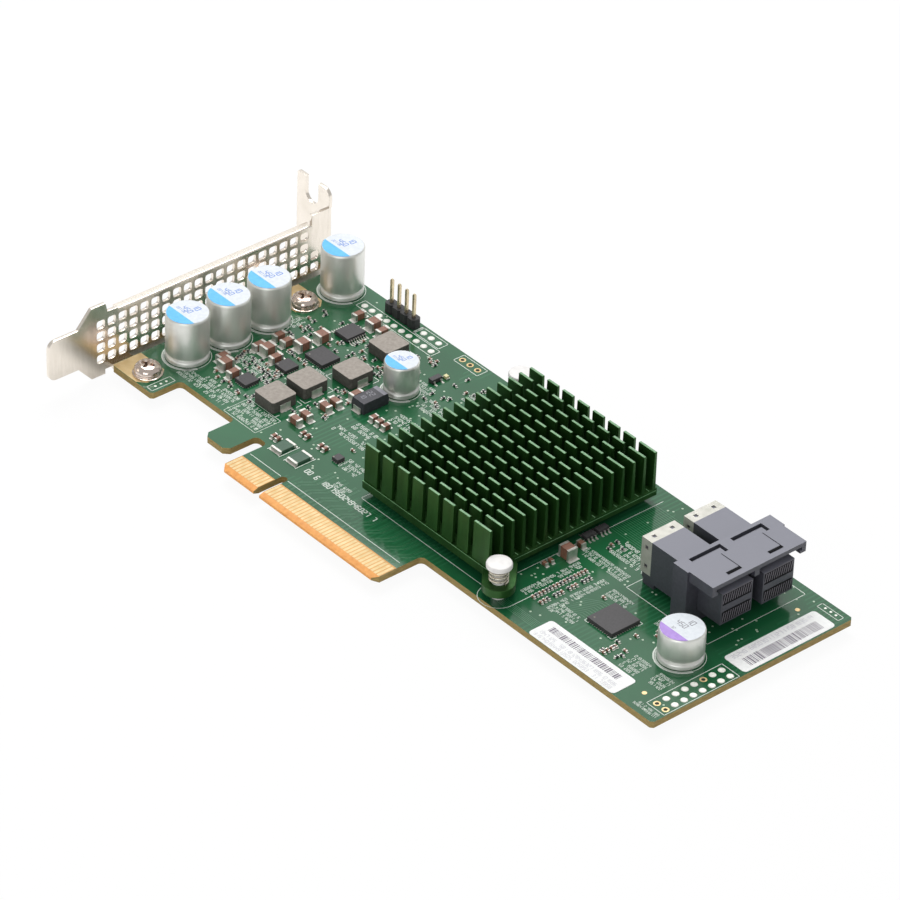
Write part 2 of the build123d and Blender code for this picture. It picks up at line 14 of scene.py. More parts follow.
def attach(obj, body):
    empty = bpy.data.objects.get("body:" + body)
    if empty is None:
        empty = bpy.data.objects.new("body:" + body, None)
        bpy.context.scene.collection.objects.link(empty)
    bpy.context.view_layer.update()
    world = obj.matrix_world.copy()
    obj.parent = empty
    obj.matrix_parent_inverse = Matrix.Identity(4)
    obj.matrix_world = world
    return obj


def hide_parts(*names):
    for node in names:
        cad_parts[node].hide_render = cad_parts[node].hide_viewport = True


MM = 0.001
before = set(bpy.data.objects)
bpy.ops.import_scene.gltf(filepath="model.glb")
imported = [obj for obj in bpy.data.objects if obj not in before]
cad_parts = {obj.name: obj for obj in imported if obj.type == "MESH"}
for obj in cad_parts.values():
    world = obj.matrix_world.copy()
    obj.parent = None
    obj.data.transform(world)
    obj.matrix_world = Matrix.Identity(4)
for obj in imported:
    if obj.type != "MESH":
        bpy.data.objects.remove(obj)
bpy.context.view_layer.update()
rng = random.Random(11)


# Materials

def rgb(r, g, b):
    """A screen colour from 0 to 255 as the linear values the shader takes."""
    def linear(c):
        c /= 255
        return c / 12.92 if c <= 0.04045 else ((c + 0.055) / 1.055) ** 2.4
    return (linear(r), linear(g), linear(b), 1.0)


def node(tree, kind, **values):
    """A shader node with its own settings, or the values of its inputs, given by name."""
    made = tree.nodes.new("ShaderNode" + kind)
    for key, value in values.items():
        if hasattr(made, key):
            setattr(made, key, value)
        else:
            made.inputs[key.replace("_", " ")].default_value = value
    return made


def join(tree, source, output, target, entry):
    tree.links.new(source.outputs[output], target.inputs[entry])


def of_type(tree, kind):
    return next(n for n in tree.nodes if n.type == kind)


def surface(name, low, high, rough=0.5, spread=0.12, metal=0.0, grain=900.0, bump=0.0, coat=0.0,
            stretch=(1, 1, 1), specular=0.5):
    """A material whose colour wanders between two shades and whose gloss and relief follow the same grain."""
    made = bpy.data.materials.new(name)
    made.use_nodes = True
    tree = made.node_tree
    shader = tree.nodes["Principled BSDF"]
    shader.inputs["Metallic"].default_value = metal
    shader.inputs["Coat Weight"].default_value = coat
    shader.inputs["Coat Roughness"].default_value = 0.12
    shader.inputs["Specular IOR Level"].default_value = specular
    coords = node(tree, "TexCoord")
    mapping = node(tree, "Mapping")
    mapping.inputs["Scale"].default_value = stretch
    join(tree, coords, "Object", mapping, "Vector")
    noise = node(tree, "TexNoise", Scale=grain, Detail=4.0)
    join(tree, mapping, "Vector", noise, "Vector")
    ramp = node(tree, "ValToRGB")
    for stop, position, colour in zip(ramp.color_ramp.elements, (0.3, 0.7), (low, high)):
        stop.position, stop.color = position, rgb(*colour)
    join(tree, noise, "Fac", ramp, "Fac")
    join(tree, ramp, "Color", shader, "Base Color")
    gloss = node(tree, "MapRange", To_Min=max(0.03, rough * (1 - spread)),
                 To_Max=min(1.0, rough * (1 + spread)))
    join(tree, noise, "Fac", gloss, "Value")
    join(tree, gloss, "Result", shader, "Roughness")
    if bump:
        relief = node(tree, "Bump", Strength=0.6, Distance=bump * MM)
        join(tree, noise, "Fac", relief, "Height")
        join(tree, relief, "Normal", shader, "Normal")
    return made


def tint(tree, factor, output, colour):
    """Mixes a colour into the material's own wherever the factor says."""
    mix = node(tree, "Mix", data_type="RGBA", B=rgb(*colour))
    join(tree, factor, output, mix, "Factor")
    join(tree, of_type(tree, "VALTORGB"), "Color", mix, "A")
    join(tree, mix, "Result", tree.nodes["Principled BSDF"], "Base Color")


def board_mask():
    """Green solder mask, with patches of fine routed lines that show lighter through it."""
    made = surface("solder_mask", (22, 80, 48), (32, 98, 60), rough=0.13, spread=0.2, grain=36, coat=0.5)
    tree = made.node_tree
    coords = of_type(tree, "TEX_COORD")
    lines = node(tree, "TexWave", Scale=260.0, Distortion=0.0)
    lines.bands_direction = "X"
    join(tree, coords, "Object", lines, "Vector")
    thin = node(tree, "MapRange", From_Min=0.62, From_Max=0.8)
    join(tree, lines, "Fac", thin, "Value")
    patches = node(tree, "TexVoronoi", Scale=70.0)
    join(tree, coords, "Object", patches, "Vector")
    part = node(tree, "SeparateColor")
    join(tree, patches, "Color", part, "Color")
    chosen = node(tree, "MapRange", From_Min=0.7, From_Max=0.74)
    join(tree, part, "Red", chosen, "Value")
    both = node(tree, "Math", operation="MULTIPLY")
    join(tree, thin, "Result", both, 0)
    join(tree, chosen, "Result", both, 1)
    tint(tree, both, "Value", (36, 100, 64))
    return made


def port_moulding():
    """Grey moulding whose upward faces are painted lighter: a painted sheen of the overhead light."""
    made = surface("port_moulding", (60, 61, 68), (70, 71, 80), rough=0.4, grain=1700, bump=0.012)
    tree = made.node_tree
    facing = node(tree, "NewGeometry")
    upward = node(tree, "SeparateXYZ")
    join(tree, facing, "Normal", upward, "Vector")
    painted_sheen = node(tree, "MapRange", From_Min=0.5, From_Max=0.95)
    join(tree, upward, "Z", painted_sheen, "Value")
    # Upward faces mixed toward a paler grey: painted sheen on the tops.
    tint(tree, painted_sheen, "Result", (116, 117, 128))
    return made


mask = board_mask()
laminate = surface("laminate_edge", (128, 108, 58), (160, 138, 82), rough=0.7, grain=700, stretch=(1, 1, 6))
bevel_bare = surface("finger_bevel", (214, 140, 62), (232, 164, 84))
finger_gap = surface("finger_gap", (196, 138, 66), (214, 158, 82))
gold = surface("gold_plating", (206, 178, 126), (222, 198, 152), rough=0.3, metal=0.55, grain=500)
silk = surface("silk_white", (196, 206, 196), (226, 232, 224), rough=0.6, grain=2500)
track = surface("covered_track", (36, 98, 62), (44, 108, 70), rough=0.3, coat=0.25)
via_tin = surface("via_ring", (150, 176, 150), (190, 206, 186), rough=0.4)
solder = surface("solder", (210, 211, 204), (230, 230, 222), rough=0.4, metal=0.35, grain=1400)
# Dark disc inside the open holes: painted shade.
hole_painted_shade = surface("hole_painted_shade", (34, 40, 30), (44, 50, 38), rough=0.9)
tin = surface("tin_plate", (196, 194, 188), (220, 218, 212), rough=0.34, metal=0.8, grain=1500)
bracket_metal = surface("nickel_sheet", (232, 224, 212), (244, 236, 226), rough=0.22, metal=0.95, grain=240,
                        stretch=(1, 8, 1), spread=0.1)
screw_metal = surface("screw_nickel", (206, 192, 182), (220, 206, 196), rough=0.14, metal=1.0, grain=700)
can_metal = surface("can_aluminium", (222, 223, 218), (234, 235, 230), rough=0.42, metal=0.8, grain=500,
                    stretch=(1, 1, 0.1))
can_white = surface("can_print_white", (206, 212, 218), (218, 223, 228), rough=0.45, grain=1200)
can_blue = surface("can_print_blue", (84, 176, 236), (98, 188, 244), rough=0.45)
can_purple = surface("can_print_purple", (160, 124, 204), (174, 140, 216), rough=0.45)
ink_blue = surface("ink_blue", (70, 120, 205), (88, 138, 216))
ink_grey = surface("ink_grey", (120, 120, 128), (138, 138, 146))
sink_face = surface("green_anodise", (38, 76, 30), (48, 92, 40), rough=0.36, metal=0.65, grain=500,
                    stretch=(1, 1, 0.12), bump=0.01)
# Paler green for the fin tops: painted highlight on the upward faces of the anodise.
sink_painted_top = surface("green_anodise_painted_top", (92, 128, 96), (118, 152, 120), rough=0.4, metal=0.4)
# Pale green strips on the heatsink base: painted highlights along its edges and between the rows.
sink_painted_highlight = surface("green_anodise_painted_highlight", (134, 190, 136), (158, 208, 158), rough=0.35, metal=0.2)
chip_plastic = surface("chip_moulding", (52, 50, 52), (66, 64, 66), rough=0.55, grain=2600, bump=0.01)
chip_mark = surface("chip_mark", (120, 116, 106), (138, 134, 122), rough=0.6)
# A lighter copy for the tops and a darker one for the sides of one grey body: painted light and painted shade.
inductor_painted_top = surface("inductor_painted_top", (138, 130, 122), (160, 152, 143), rough=0.65, grain=1600, bump=0.02)
inductor_painted_side = surface("inductor_painted_side", (66, 64, 60), (90, 88, 82), rough=0.7, grain=1800, bump=0.03)
ceramic = surface("ceramic_body", (118, 82, 66), (142, 100, 82), rough=0.45, grain=1500)
black_body = surface("resistor_body", (38, 40, 42), (52, 54, 56), rough=0.45, grain=1500)
tantalum_body = surface("tantalum_body", (44, 44, 50), (58, 58, 66), rough=0.45, grain=1500)
header_plastic = surface("header_moulding", (30, 30, 32), (42, 42, 44), grain=1800)
pin_metal = surface("header_pin", (200, 184, 150), (222, 208, 176), rough=0.28, metal=0.85)
port_plastic = port_moulding()
# Near black with little gloss for the port openings and roof slots: painted shade.
port_painted_shade = surface("port_opening_painted_shade", (16, 16, 18), (22, 22, 25), rough=0.8, grain=1700, specular=0.1)
port_comb = surface("port_contacts", (96, 92, 100), (116, 112, 120), rough=0.45, grain=1700)
clip_metal = surface("clip_steel", (176, 175, 166), (192, 190, 182), rough=0.36, metal=0.4, grain=600)
pin_plastic = surface("pin_nylon", (220, 218, 216), (232, 230, 228), rough=0.38, grain=700)
spring_metal = surface("spring_wire", (206, 198, 182), (228, 222, 208), rough=0.25, metal=0.9)
label_paper = surface("label_paper", (226, 227, 226), (238, 239, 238), rough=0.55, grain=1400)
label_ink = surface("label_ink", (98, 90, 104), (120, 112, 126), rough=0.6)
faint_ink = surface("faint_ink", (192, 192, 198), (204, 204, 210), rough=0.6)
lamp_body = surface("lamp_lens", (206, 200, 148), (222, 216, 168), rough=0.3, grain=1500)
fuse_body = surface("fuse_body", (42, 78, 58), (54, 92, 70), rough=0.4, grain=1500)
pad_grey = surface("thermal_pad", (130, 130, 134), (146, 146, 150), rough=0.8)


# Meshes

SHARP = math.radians(32)


def ease(made, width, steps, angle):
    """Rounds an object's edges where its faces turn by more than the angle."""
    soft = made.modifiers.new("edge", "BEVEL")
    soft.width, soft.segments, soft.limit_method = width * MM, steps, "ANGLE"
    soft.angle_limit, soft.harden_normals = angle, True


def show(made):
    bpy.context.scene.collection.objects.link(made)


class Piece:
    """Gathers faces in millimetres, each with one of the piece's materials, into one object."""

    def __init__(self, name, slot, *materials, replaces=()):
        self.name, self.slot, self.materials, self.nodes = name, slot, materials, replaces
        self.points, self.faces, self.kinds = [], [], []

    def face(self, corners, kind=0):
        first = len(self.points)
        self.points.extend(corners)
        self.faces.append(list(range(first, first + len(corners))))
        self.kinds.append(kind)

    def solid(self, rings, kind=0, caps=(None, None)):
        """Joins rings of equally many points into a skin, with a cap on the first and last."""
        first, count = len(self.points), len(rings[0])
        for ring in rings:
            self.points.extend(ring)
        for level in range(len(rings) - 1):
            a, b = first + level * count, first + (level + 1) * count
            for i in range(count):
                j = (i + 1) % count
                self.faces.append([a + i, a + j, b + j, b + i])
                self.kinds.append(kind)
        for cap, start, turn in ((caps[0], first, -1), (caps[1], first + (len(rings) - 1) * count, 1)):
            if cap is not None:
                self.faces.append([start + i for i in range(count)][::turn])
                self.kinds.append(cap)

    def prism(self, outline, low, high, kind=0, top=None):
        """An outline in the board's plane, raised from one height to another."""
        rings = [[(x, y, z) for x, y in outline] for z in (low, high)]
        self.solid(rings, kind, (kind, kind if top is None else top))

    def box(self, x0, x1, y0, y1, z0, z1, kind=0):
        self.prism([(x0, y0), (x1, y0), (x1, y1), (x0, y1)], z0, z1, kind)

    def block(self, x, y, length, width, z0, z1, kind=0):
        self.box(x - length / 2, x + length / 2, y - width / 2, y + width / 2, z0, z1, kind)

    def flat(self, x0, x1, y0, y1, z, kind=0):
        """An upward rectangle."""
        self.face([(x0, y0, z), (x1, y0, z), (x1, y1, z), (x0, y1, z)], kind)

    def lathe(self, x, y, profile, kind=0, sides=48):
        """A profile of (radius, height) turned about an upright axis; a zero radius closes an end."""
        turns = [2 * math.pi * i / sides for i in range(sides)]
        rings = [[(x + r * math.cos(t), y + r * math.sin(t), z) for t in turns] for r, z in profile if r > 0]
        self.solid(rings, kind, [None if r > 0 else kind for r, z in (profile[0], profile[-1])])

    def tube(self, path, radius):
        """A round wire along a path."""
        path = [Vector(p) for p in path]
        turns = [2 * math.pi * k / 8 for k in range(8)]
        rings = []
        for i, p in enumerate(path):
            along = (path[min(i + 1, len(path) - 1)] - path[max(i - 1, 0)]).normalized()
            side = along.cross(Vector((0, 0, 1)))
            side = side.normalized() if side.length > 1e-6 else Vector((1, 0, 0))
            up = side.cross(along)
            rings.append([tuple(p + side * radius * math.cos(t) + up * radius * math.sin(t)) for t in turns])
        self.solid(rings, 0, (0, 0))

    def take(self, mesh, matrix):
        """Adds a mesh made elsewhere, in millimetres."""
        first = len(self.points)
        self.points.extend(tuple(matrix @ v.co) for v in mesh.vertices)
        for polygon in mesh.polygons:
            self.faces.append([first + i for i in polygon.vertices])
            self.kinds.append(0)

    def done(self, bevel=0.0, steps=2, body="root"):
        """Turns the faces into the scene's object, with its edges eased and its body named."""
        mesh = bpy.data.meshes.new(self.name)
        mesh.from_pydata([Vector(p) * MM for p in self.points], [], self.faces)
        for material in self.materials:
            mesh.materials.append(material)
        mesh.polygons.foreach_set("material_index", self.kinds)
        grid = bmesh.new()
        grid.from_mesh(mesh)
        bmesh.ops.recalc_face_normals(grid, faces=grid.faces)
        grid.to_mesh(mesh)
        grid.free()
        mesh.shade_smooth()
        mesh.set_sharp_from_angle(angle=SHARP)
        made = bpy.data.objects.new(self.name, mesh)
        show(made)
        if bevel:
            ease(made, bevel, steps, SHARP)
        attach(made, body)
        if self.nodes:
            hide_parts(*self.nodes)
        return made


def arc(x, y, radius, start, end, steps=6):
    """Points round a centre from one angle to another, in degrees."""
    turns = [math.radians(start + (end - start) * i / steps) for i in range(steps + 1)]
    return [(x + radius * math.cos(t), y + radius * math.sin(t)) for t in turns]


def rounded(x0, x1, y0, y1, radius):
    """A rectangle with round corners."""
    left, right, low, high = x0 + radius, x1 - radius, y0 + radius, y1 - radius
    return (arc(right, high, radius, 0, 90, 4) + arc(left, high, radius, 90, 180, 4)
            + arc(left, low, radius, 180, 270, 4) + arc(right, low, radius, 270, 360, 4))


def clipped(x, y, half_x, half_y, cut):
    """A rectangle about a place with its corners cut off."""
    return [(x - half_x + cut, y - half_y), (x + half_x - cut, y - half_y), (x + half_x, y - half_y + cut),
            (x + half_x, y + half_y - cut), (x + half_x - cut, y + half_y), (x - half_x + cut, y + half_y),
            (x - half_x, y + half_y - cut), (x - half_x, y - half_y + cut)]


def plate(piece, loops, thickness, matrix):
    """A flat sheet with holes: the first loop is its rim and the others are holes."""
    edge = 0.03
    curve = bpy.data.curves.new("outline", "CURVE")
    curve.dimensions, curve.fill_mode = "2D", "BOTH"
    curve.extrude, curve.bevel_depth, curve.bevel_resolution = thickness / 2 - edge, edge, 1
    curve.offset = -edge
    for loop in loops:
        spline = curve.splines.new("POLY")
        spline.points.add(len(loop) - 1)
        for point, (u, v) in zip(spline.points, loop):
            point.co = (u, v, 0, 1)
        spline.use_cyclic_u = True
    holder = bpy.data.objects.new("outline", curve)
    show(holder)
    bpy.context.view_layer.update()
    mesh = bpy.data.meshes.new_from_object(holder.evaluated_get(bpy.context.evaluated_depsgraph_get()))
    piece.take(mesh, matrix)
    bpy.data.objects.remove(holder)


def axes(origin, u, v):
    """The matrix that lays a sheet drawn in u and v at a place; its thickness runs across both."""
    u, v = Vector(u), Vector(v)
    w = u.cross(v)
    return Matrix((
        (u.x, v.x, w.x, origin[0]), (u.y, v.y, w.y, origin[1]), (u.z, v.z, w.z, origin[2]), (0, 0, 0, 1),
    ))


# Board

LEFT, RIGHT, HIGH, UNDER = -56.42, 110.4, 68.9, -1.57
CORNER, EDGE_CUT, INNER_RADIUS, BEVEL_LENGTH, BEVEL_DEPTH = 0.6, 1.2, 1.2, 1.3, 0.47
NOTCH_LEFT, HOOK_LEFT, HOOK_RIGHT, SLOT_LEFT, SLOT_RIGHT = -42.3, -23.4, -15.8, -12.15, 39.15
HEEL_Y, NOTCH_TOP, HOOK_Y, SHOULDER_Y, KEY_TOP, KEY_HALF = 4.84, 12.9, 4.37, 12.8, 7.3, 0.95


def inner_corner(x, y, to_right):
    """The rounded corner under a shoulder, at the right or the left of an upright edge."""
    if to_right:
        return arc(x + INNER_RADIUS, y - INNER_RADIUS, INNER_RADIUS, 180, 90)
    return arc(x - INNER_RADIUS, y - INNER_RADIUS, INNER_RADIUS, 90, 0)


outline = (
    [(LEFT + CORNER, HEEL_Y), (NOTCH_LEFT - CORNER, HEEL_Y), (NOTCH_LEFT, HEEL_Y + CORNER)]
    + inner_corner(NOTCH_LEFT, NOTCH_TOP, True) + inner_corner(HOOK_LEFT, NOTCH_TOP, False)
    + [(HOOK_LEFT, HOOK_Y + EDGE_CUT), (HOOK_LEFT + EDGE_CUT, HOOK_Y)]
    + [(HOOK_RIGHT - EDGE_CUT, HOOK_Y), (HOOK_RIGHT, HOOK_Y + EDGE_CUT)]
    + inner_corner(HOOK_RIGHT, SHOULDER_Y, True) + inner_corner(SLOT_LEFT, SHOULDER_Y, False)
    + [(SLOT_LEFT, EDGE_CUT), (SLOT_LEFT + EDGE_CUT, 0), (-KEY_HALF, 0)] + arc(0, KEY_TOP, KEY_HALF, 180, 0, 8)
    + [(KEY_HALF, 0), (SLOT_RIGHT - EDGE_CUT, 0), (SLOT_RIGHT, EDGE_CUT)]
    + inner_corner(SLOT_RIGHT, SHOULDER_Y, True)
    + [(RIGHT - CORNER, SHOULDER_Y), (RIGHT, SHOULDER_Y + CORNER), (RIGHT, HIGH - CORNER)]
    + [(RIGHT - CORNER, HIGH), (LEFT + CORNER, HIGH), (LEFT, HIGH - CORNER), (LEFT, HEEL_Y + CORNER)]
)
board = Piece("board", "board_green", mask, laminate, bevel_bare, replaces=("circuit_board",))


def eased(x, y):
    """How far the slot edge's bevel takes a face point in from its face."""
    inside = SLOT_LEFT - 0.05 < x < SLOT_RIGHT + 0.05 and y < BEVEL_LENGTH
    return BEVEL_DEPTH * (1 - y / BEVEL_LENGTH) if inside else 0.0


fine = []
for (xa, ya), (xb, yb) in zip(outline, outline[1:] + outline[:1]):
    fine.append((xa, ya))
    if (ya < BEVEL_LENGTH) != (yb < BEVEL_LENGTH):
        fine.append((xa + (xb - xa) * (BEVEL_LENGTH - ya) / (yb - ya), BEVEL_LENGTH))
board.points = [(x, y, -eased(x, y)) for x, y in fine] + [(x, y, UNDER + eased(x, y)) for x, y in fine]
count = len(fine)
for i in range(count):
    j = (i + 1) % count
    board.faces.append([i, i + count, j + count, j])
    board.kinds.append(2 if fine[i][1] < EDGE_CUT and fine[j][1] < EDGE_CUT else 1)
# The sloping strips of the bevel, then the faces of the board above it
strips = []
for low, high in ((SLOT_LEFT - 0.01, 0), (0, SLOT_RIGHT + 0.01)):
    strips.append(([i for i, (x, y) in enumerate(fine) if low <= x <= high and y <= BEVEL_LENGTH + 1e-6], 2))
strips.append(([i for i, (x, y) in enumerate(fine) if y >= BEVEL_LENGTH - 1e-6], 0))
for corners, kind in strips:
    for shift, turn in ((0, 1), (count, -1)):
        board.faces.append([i + shift for i in corners][::turn])
        board.kinds.append(kind)
board.done()

# Slot fingers on both faces, gold on a bare strip
fingers = Piece("slot_fingers", "contact_gold", gold, finger_gap)
for z in (0.0, UNDER):
    for x0, x1 in ((-12.1, -0.98), (0.98, 39.1)):
        fingers.box(x0, x1, 1.3, 5.9, z - 0.004, z + 0.004, 1)
    for x in [-11.5 + i for i in range(11)] + [1.5 + i for i in range(38)]:
        fingers.box(x - 0.36, x + 0.36, 1.25, 5.55, z - 0.02, z + 0.02, 0)
fingers.done()

# Plated holes, pads and solder; the open holes hold a dark disc of painted shade
PAD_RADIUS, BORE, PAD_TOP = 0.82, 0.45, 0.03
HOLE_PITCH, HOLES_X, HOLES_Y = 2.54, (106.34, 108.88), 17.85
TOP_HOLES_X, TOP_HOLES_Y = -40.43, 63.45
OPEN_HOLES = ((0, 0), (0, 5), (1, 0))
pads = Piece("plated_pads", "contact_gold", gold, hole_painted_shade, solder)


def filled_hole(x, y):
    pads.lathe(x, y, [(PAD_RADIUS, -0.02), (PAD_RADIUS, PAD_TOP), (PAD_RADIUS * 0.8, 0.14), (0, 0.2)], 2, 16)


def open_hole(x, y):
    pads.lathe(x, y, [(PAD_RADIUS, -0.02), (PAD_RADIUS, PAD_TOP), (BORE, PAD_TOP), (BORE, -0.02)], 0, 18)
    # Dark disc across the bore: painted shade standing in for the open hole.
    pads.lathe(x, y, [(BORE, 0.008), (0, 0.008)], 1, 18)


for row, x in enumerate(HOLES_X):
    for i in range(8):
        (open_hole if (row, i) in OPEN_HOLES else filled_hole)(x, HOLES_Y + HOLE_PITCH * i)
for i in range(10):
    filled_hole(TOP_HOLES_X + HOLE_PITCH * i, TOP_HOLES_Y)
for i in range(3):
    filled_hole(-23.98 + HOLE_PITCH * i, 66.76)
    open_hole(-10.75 + HOLE_PITCH * i, 66.74)
for x, y in ((102.2, 18.2), (101.1, 61.9)):
    pads.lathe(x, y, [(0.55, 0), (0.55, PAD_TOP), (0, PAD_TOP)], 0, 16)
for x, y in [(-44.1, y) for y in (10.3, 8.8, 7.3)] + [(x, 66.8) for x in (104.3, 105.9, 107.4)]:
    pads.lathe(x, y, [(0.3, 0), (0.3, PAD_TOP), (0, PAD_TOP)], 2, 10)
for y0, y1 in ((49.6, 57.3), (4.95, 12.7)):
    x0, x1, cut = -56.3, -46.2, 1.8
    corners = [(x0, y0), (x1 - cut, y0), (x1, y0 + cut), (x1, y1 - cut), (x1 - cut, y1), (x0, y1)]
    pads.prism(corners, -0.01, PAD_TOP)
pads.done()

# Bracket, drawn as flat sheets with bends between
bracket = Piece("bracket", "bracket_steel", bracket_metal, replaces=("io_bracket",))
SHEET, INNER = 0.86, -58.2
OUTER, MIDDLE, BEND, TIGHT = INNER - SHEET, INNER - SHEET / 2, 1.0, 0.35
TAB, TIP, LOW_EDGE, END_TOP, LIP_TOP = 68.25, -10.95, -1.9, 15.2, 12.55
LIP_START, LIP_END, LIP_REACH = 8.0, 62.5, 1.15
FOOT_Y, FOOT_BEND, FOOT_HALF, FOOT_END = (9.1, 53.2), 0.4, 2.9, -45.4
FOOT_TOP = UNDER + FOOT_BEND
WIDE_LOW, WIDE_TOP = 6.08 - 9.21, 6.08 + 9.21
TONGUE_LOW, TONGUE_TOP = 5.97 - 5.095, 5.97 + 5.095
low_edge = [(4.4, LOW_EDGE)]
for y in FOOT_Y:
    a, b = y - FOOT_HALF, y + FOOT_HALF
    low_edge += [(a, LOW_EDGE), (a, FOOT_TOP), (b, FOOT_TOP), (b, LOW_EDGE)]
rim = (
    arc(TIP + 2, TONGUE_LOW + 2, 2, 180, 270) + [(TIP + 8, TONGUE_LOW), (0.7, WIDE_LOW), (4.4, WIDE_LOW)]
    + low_edge + [(TAB - BEND, LOW_EDGE), (TAB - BEND, END_TOP), (LIP_END, END_TOP), (LIP_END, LIP_TOP - BEND)]
    + [(LIP_START, LIP_TOP - BEND), (LIP_START, LIP_TOP + 0.35), (5.1, LIP_TOP + 0.45)]
    + [(4.55, WIDE_TOP), (0.7, WIDE_TOP), (TIP + 8, TONGUE_TOP)] + arc(TIP + 2, TONGUE_TOP - 2, 2, 90, 180)
)
vents = []
for column in range(21):
    for row in range(4 if column < 20 else 2):
        y, z = 3.23 + 3.01 * column, 1.3 + 2.99 * row
        vents.append(rounded(y - 1.1, y + 1.1, z - 1.1, z + 1.1, 0.55)[::-1])
plate(bracket, [rim] + vents, SHEET, axes((MIDDLE, 0, 0), (0, 1, 0), (0, 0, 1)))


def bend(inside, outside, start, end, along):
    """A folded strip: the two sides of its section drawn across the fold, carried along it."""
    section = inside + outside[::-1]
    rings = [[(a, t, b) if along == "y" else (a, b, t) for a, b in section] for t in (start, end)]
    bracket.solid(rings, 0, (0, 0))


lip_tip = OUTER - LIP_REACH
bend([(INNER, LIP_TOP - BEND)] + arc(INNER - TIGHT, LIP_TOP - TIGHT, TIGHT, 0, 90) + [(lip_tip, LIP_TOP)],
     [(OUTER, LIP_TOP - BEND), (OUTER, LIP_TOP - SHEET), (lip_tip, LIP_TOP - SHEET)], LIP_START, LIP_END, "y")
bend([(INNER, TAB - BEND)] + arc(INNER - TIGHT, TAB - TIGHT, TIGHT, 0, 90) + [(INNER - BEND, TAB)],
     [(OUTER, TAB - BEND), (OUTER, TAB - SHEET), (INNER - BEND, TAB - SHEET)], LOW_EDGE, END_TOP, "z")
TAB_SLOT_X, TAB_SLOT_Z, TAB_SLOT_HALF, TAB_TOP, TAB_END = -64.29, 15.81, 2.21, 19.8, INNER - 11.3
tab = (
    [(INNER - BEND, LOW_EDGE), (INNER - BEND, END_TOP), (INNER, END_TOP)]
    + arc(INNER - 2.2, TAB_TOP - 2.2, 2.2, 0, 90) + [(TAB_SLOT_X + TAB_SLOT_HALF, TAB_TOP)]
    + arc(TAB_SLOT_X, TAB_SLOT_Z, TAB_SLOT_HALF, 0, -180, 12) + [(TAB_SLOT_X - TAB_SLOT_HALF, TAB_TOP)]
    + arc(TAB_END + 0.5, TAB_TOP - 0.5, 0.5, 90, 180, 3) + [(TAB_END, LOW_EDGE)]
)
plate(bracket, [tab], SHEET, axes((0, TAB - SHEET / 2, 0), (1, 0, 0), (0, 0, 1)))
for y in FOOT_Y:
    low, centre = UNDER - SHEET, (INNER + FOOT_BEND, FOOT_TOP)
    bend(arc(*centre, FOOT_BEND, 180, 270) + [(FOOT_END, UNDER)],
         arc(*centre, FOOT_BEND + SHEET, 180, 270) + [(FOOT_END, low)], y - FOOT_HALF, y + FOOT_HALF, "y")
    bracket.box(FOOT_END - 0.2, FOOT_END + 0.4, y - 2.3, y + 2.3, low, UNDER)
bracket.done()

# Bracket screws with a cross recess
screws = Piece("bracket_screw_heads", "screw_steel", screw_metal, replaces=("bracket_screws",))
cutter = Piece("recess_cutter", "screw_steel", screw_metal)
SCREW_X = LEFT + 7.25
SCREW = [(0, -2.93), (1.1, -2.93), (1.45, -2.6), (1.45, 0), (3.42, 0.02), (3.45, 0.1), (3.42, 0.3),
         (3.05, 0.42), (2.98, 0.7), (3.1, 0.95), (3.0, 1.5), (2.7, 1.95), (2.25, 2.3), (1.9, 2.42), (1.2, 2.5),
         (0.5, 2.55), (0, 2.55)]
SQUARE = ((-1, -1), (1, -1), (1, 1), (-1, 1))
for y in FOOT_Y:
    screws.lathe(SCREW_X, y, SCREW, 0, 40)
    for turn in (25, 115):
        c, s = math.cos(math.radians(turn)), math.sin(math.radians(turn))
        rings = []
        for half_length, half_width, z in ((0.7, 0.25, 1.2), (2.15, 0.42, 3.0)):
            corners = [(-sx * half_length, -sy * half_width) for sx, sy in SQUARE]
            rings.append([(SCREW_X + a * c - b * s, y + a * s + b * c, z) for a, b in corners])
        cutter.solid(rings, 0, (0, 0))
heads = screws.done()
blade = cutter.done()
cut = heads.modifiers.new("recess", "BOOLEAN")
cut.object, cut.operation, cut.solver = blade, "DIFFERENCE", "EXACT"
cut.use_self = True
bpy.context.view_layer.update()
carved = bpy.data.meshes.new_from_object(heads.evaluated_get(bpy.context.evaluated_depsgraph_get()))
heads.modifiers.clear()
heads.data = carved
carved.set_sharp_from_angle(angle=SHARP)
bpy.data.objects.remove(blade)

# Heatsink: base, lugs and pins
sink = Piece("pin_fin_heatsink", "sink_green", sink_face, sink_painted_top, sink_painted_highlight, replaces=("heatsink",))
CHIP_X, CHIP_Y, SINK_HALF_X, SINK_HALF_Y = 34.7, 40.75, 20.2, 23.8
SINK_LOW, SINK_TOP, FIN_TOP, FIN_ROWS, FIN_PITCH, FIN_CUT = 1.75, 3.7, 13.1, 16, 3.06, 1.43
LUG_RADIUS, LUG_RUN = 3.55, 6
sink.block(CHIP_X, CHIP_Y, 2 * SINK_HALF_X, 2 * SINK_HALF_Y, SINK_LOW, SINK_TOP)
lugs = ((CHIP_X + 24.6, CHIP_Y - 24.45), (CHIP_X - 24.6, CHIP_Y + 24.45))
for x, y in lugs:
    inward = Vector((CHIP_X - x, CHIP_Y - y)).normalized()
    turn = math.degrees(math.atan2(inward.y, inward.x))
    outer = arc(x, y, LUG_RADIUS, turn + 90, turn + 270, 16)
    inner = arc(x + inward.x * LUG_RUN, y + inward.y * LUG_RUN, LUG_RADIUS, turn - 90, turn + 90, 16)
    sink.prism(outer + inner, SINK_LOW + 0.01, SINK_TOP - 0.01)
starts, at = [], CHIP_X - 20.1
for length in [4.3] + [3.448] * 6 + [5.2]:
    starts.append((at, at + length))
    at += length + FIN_CUT
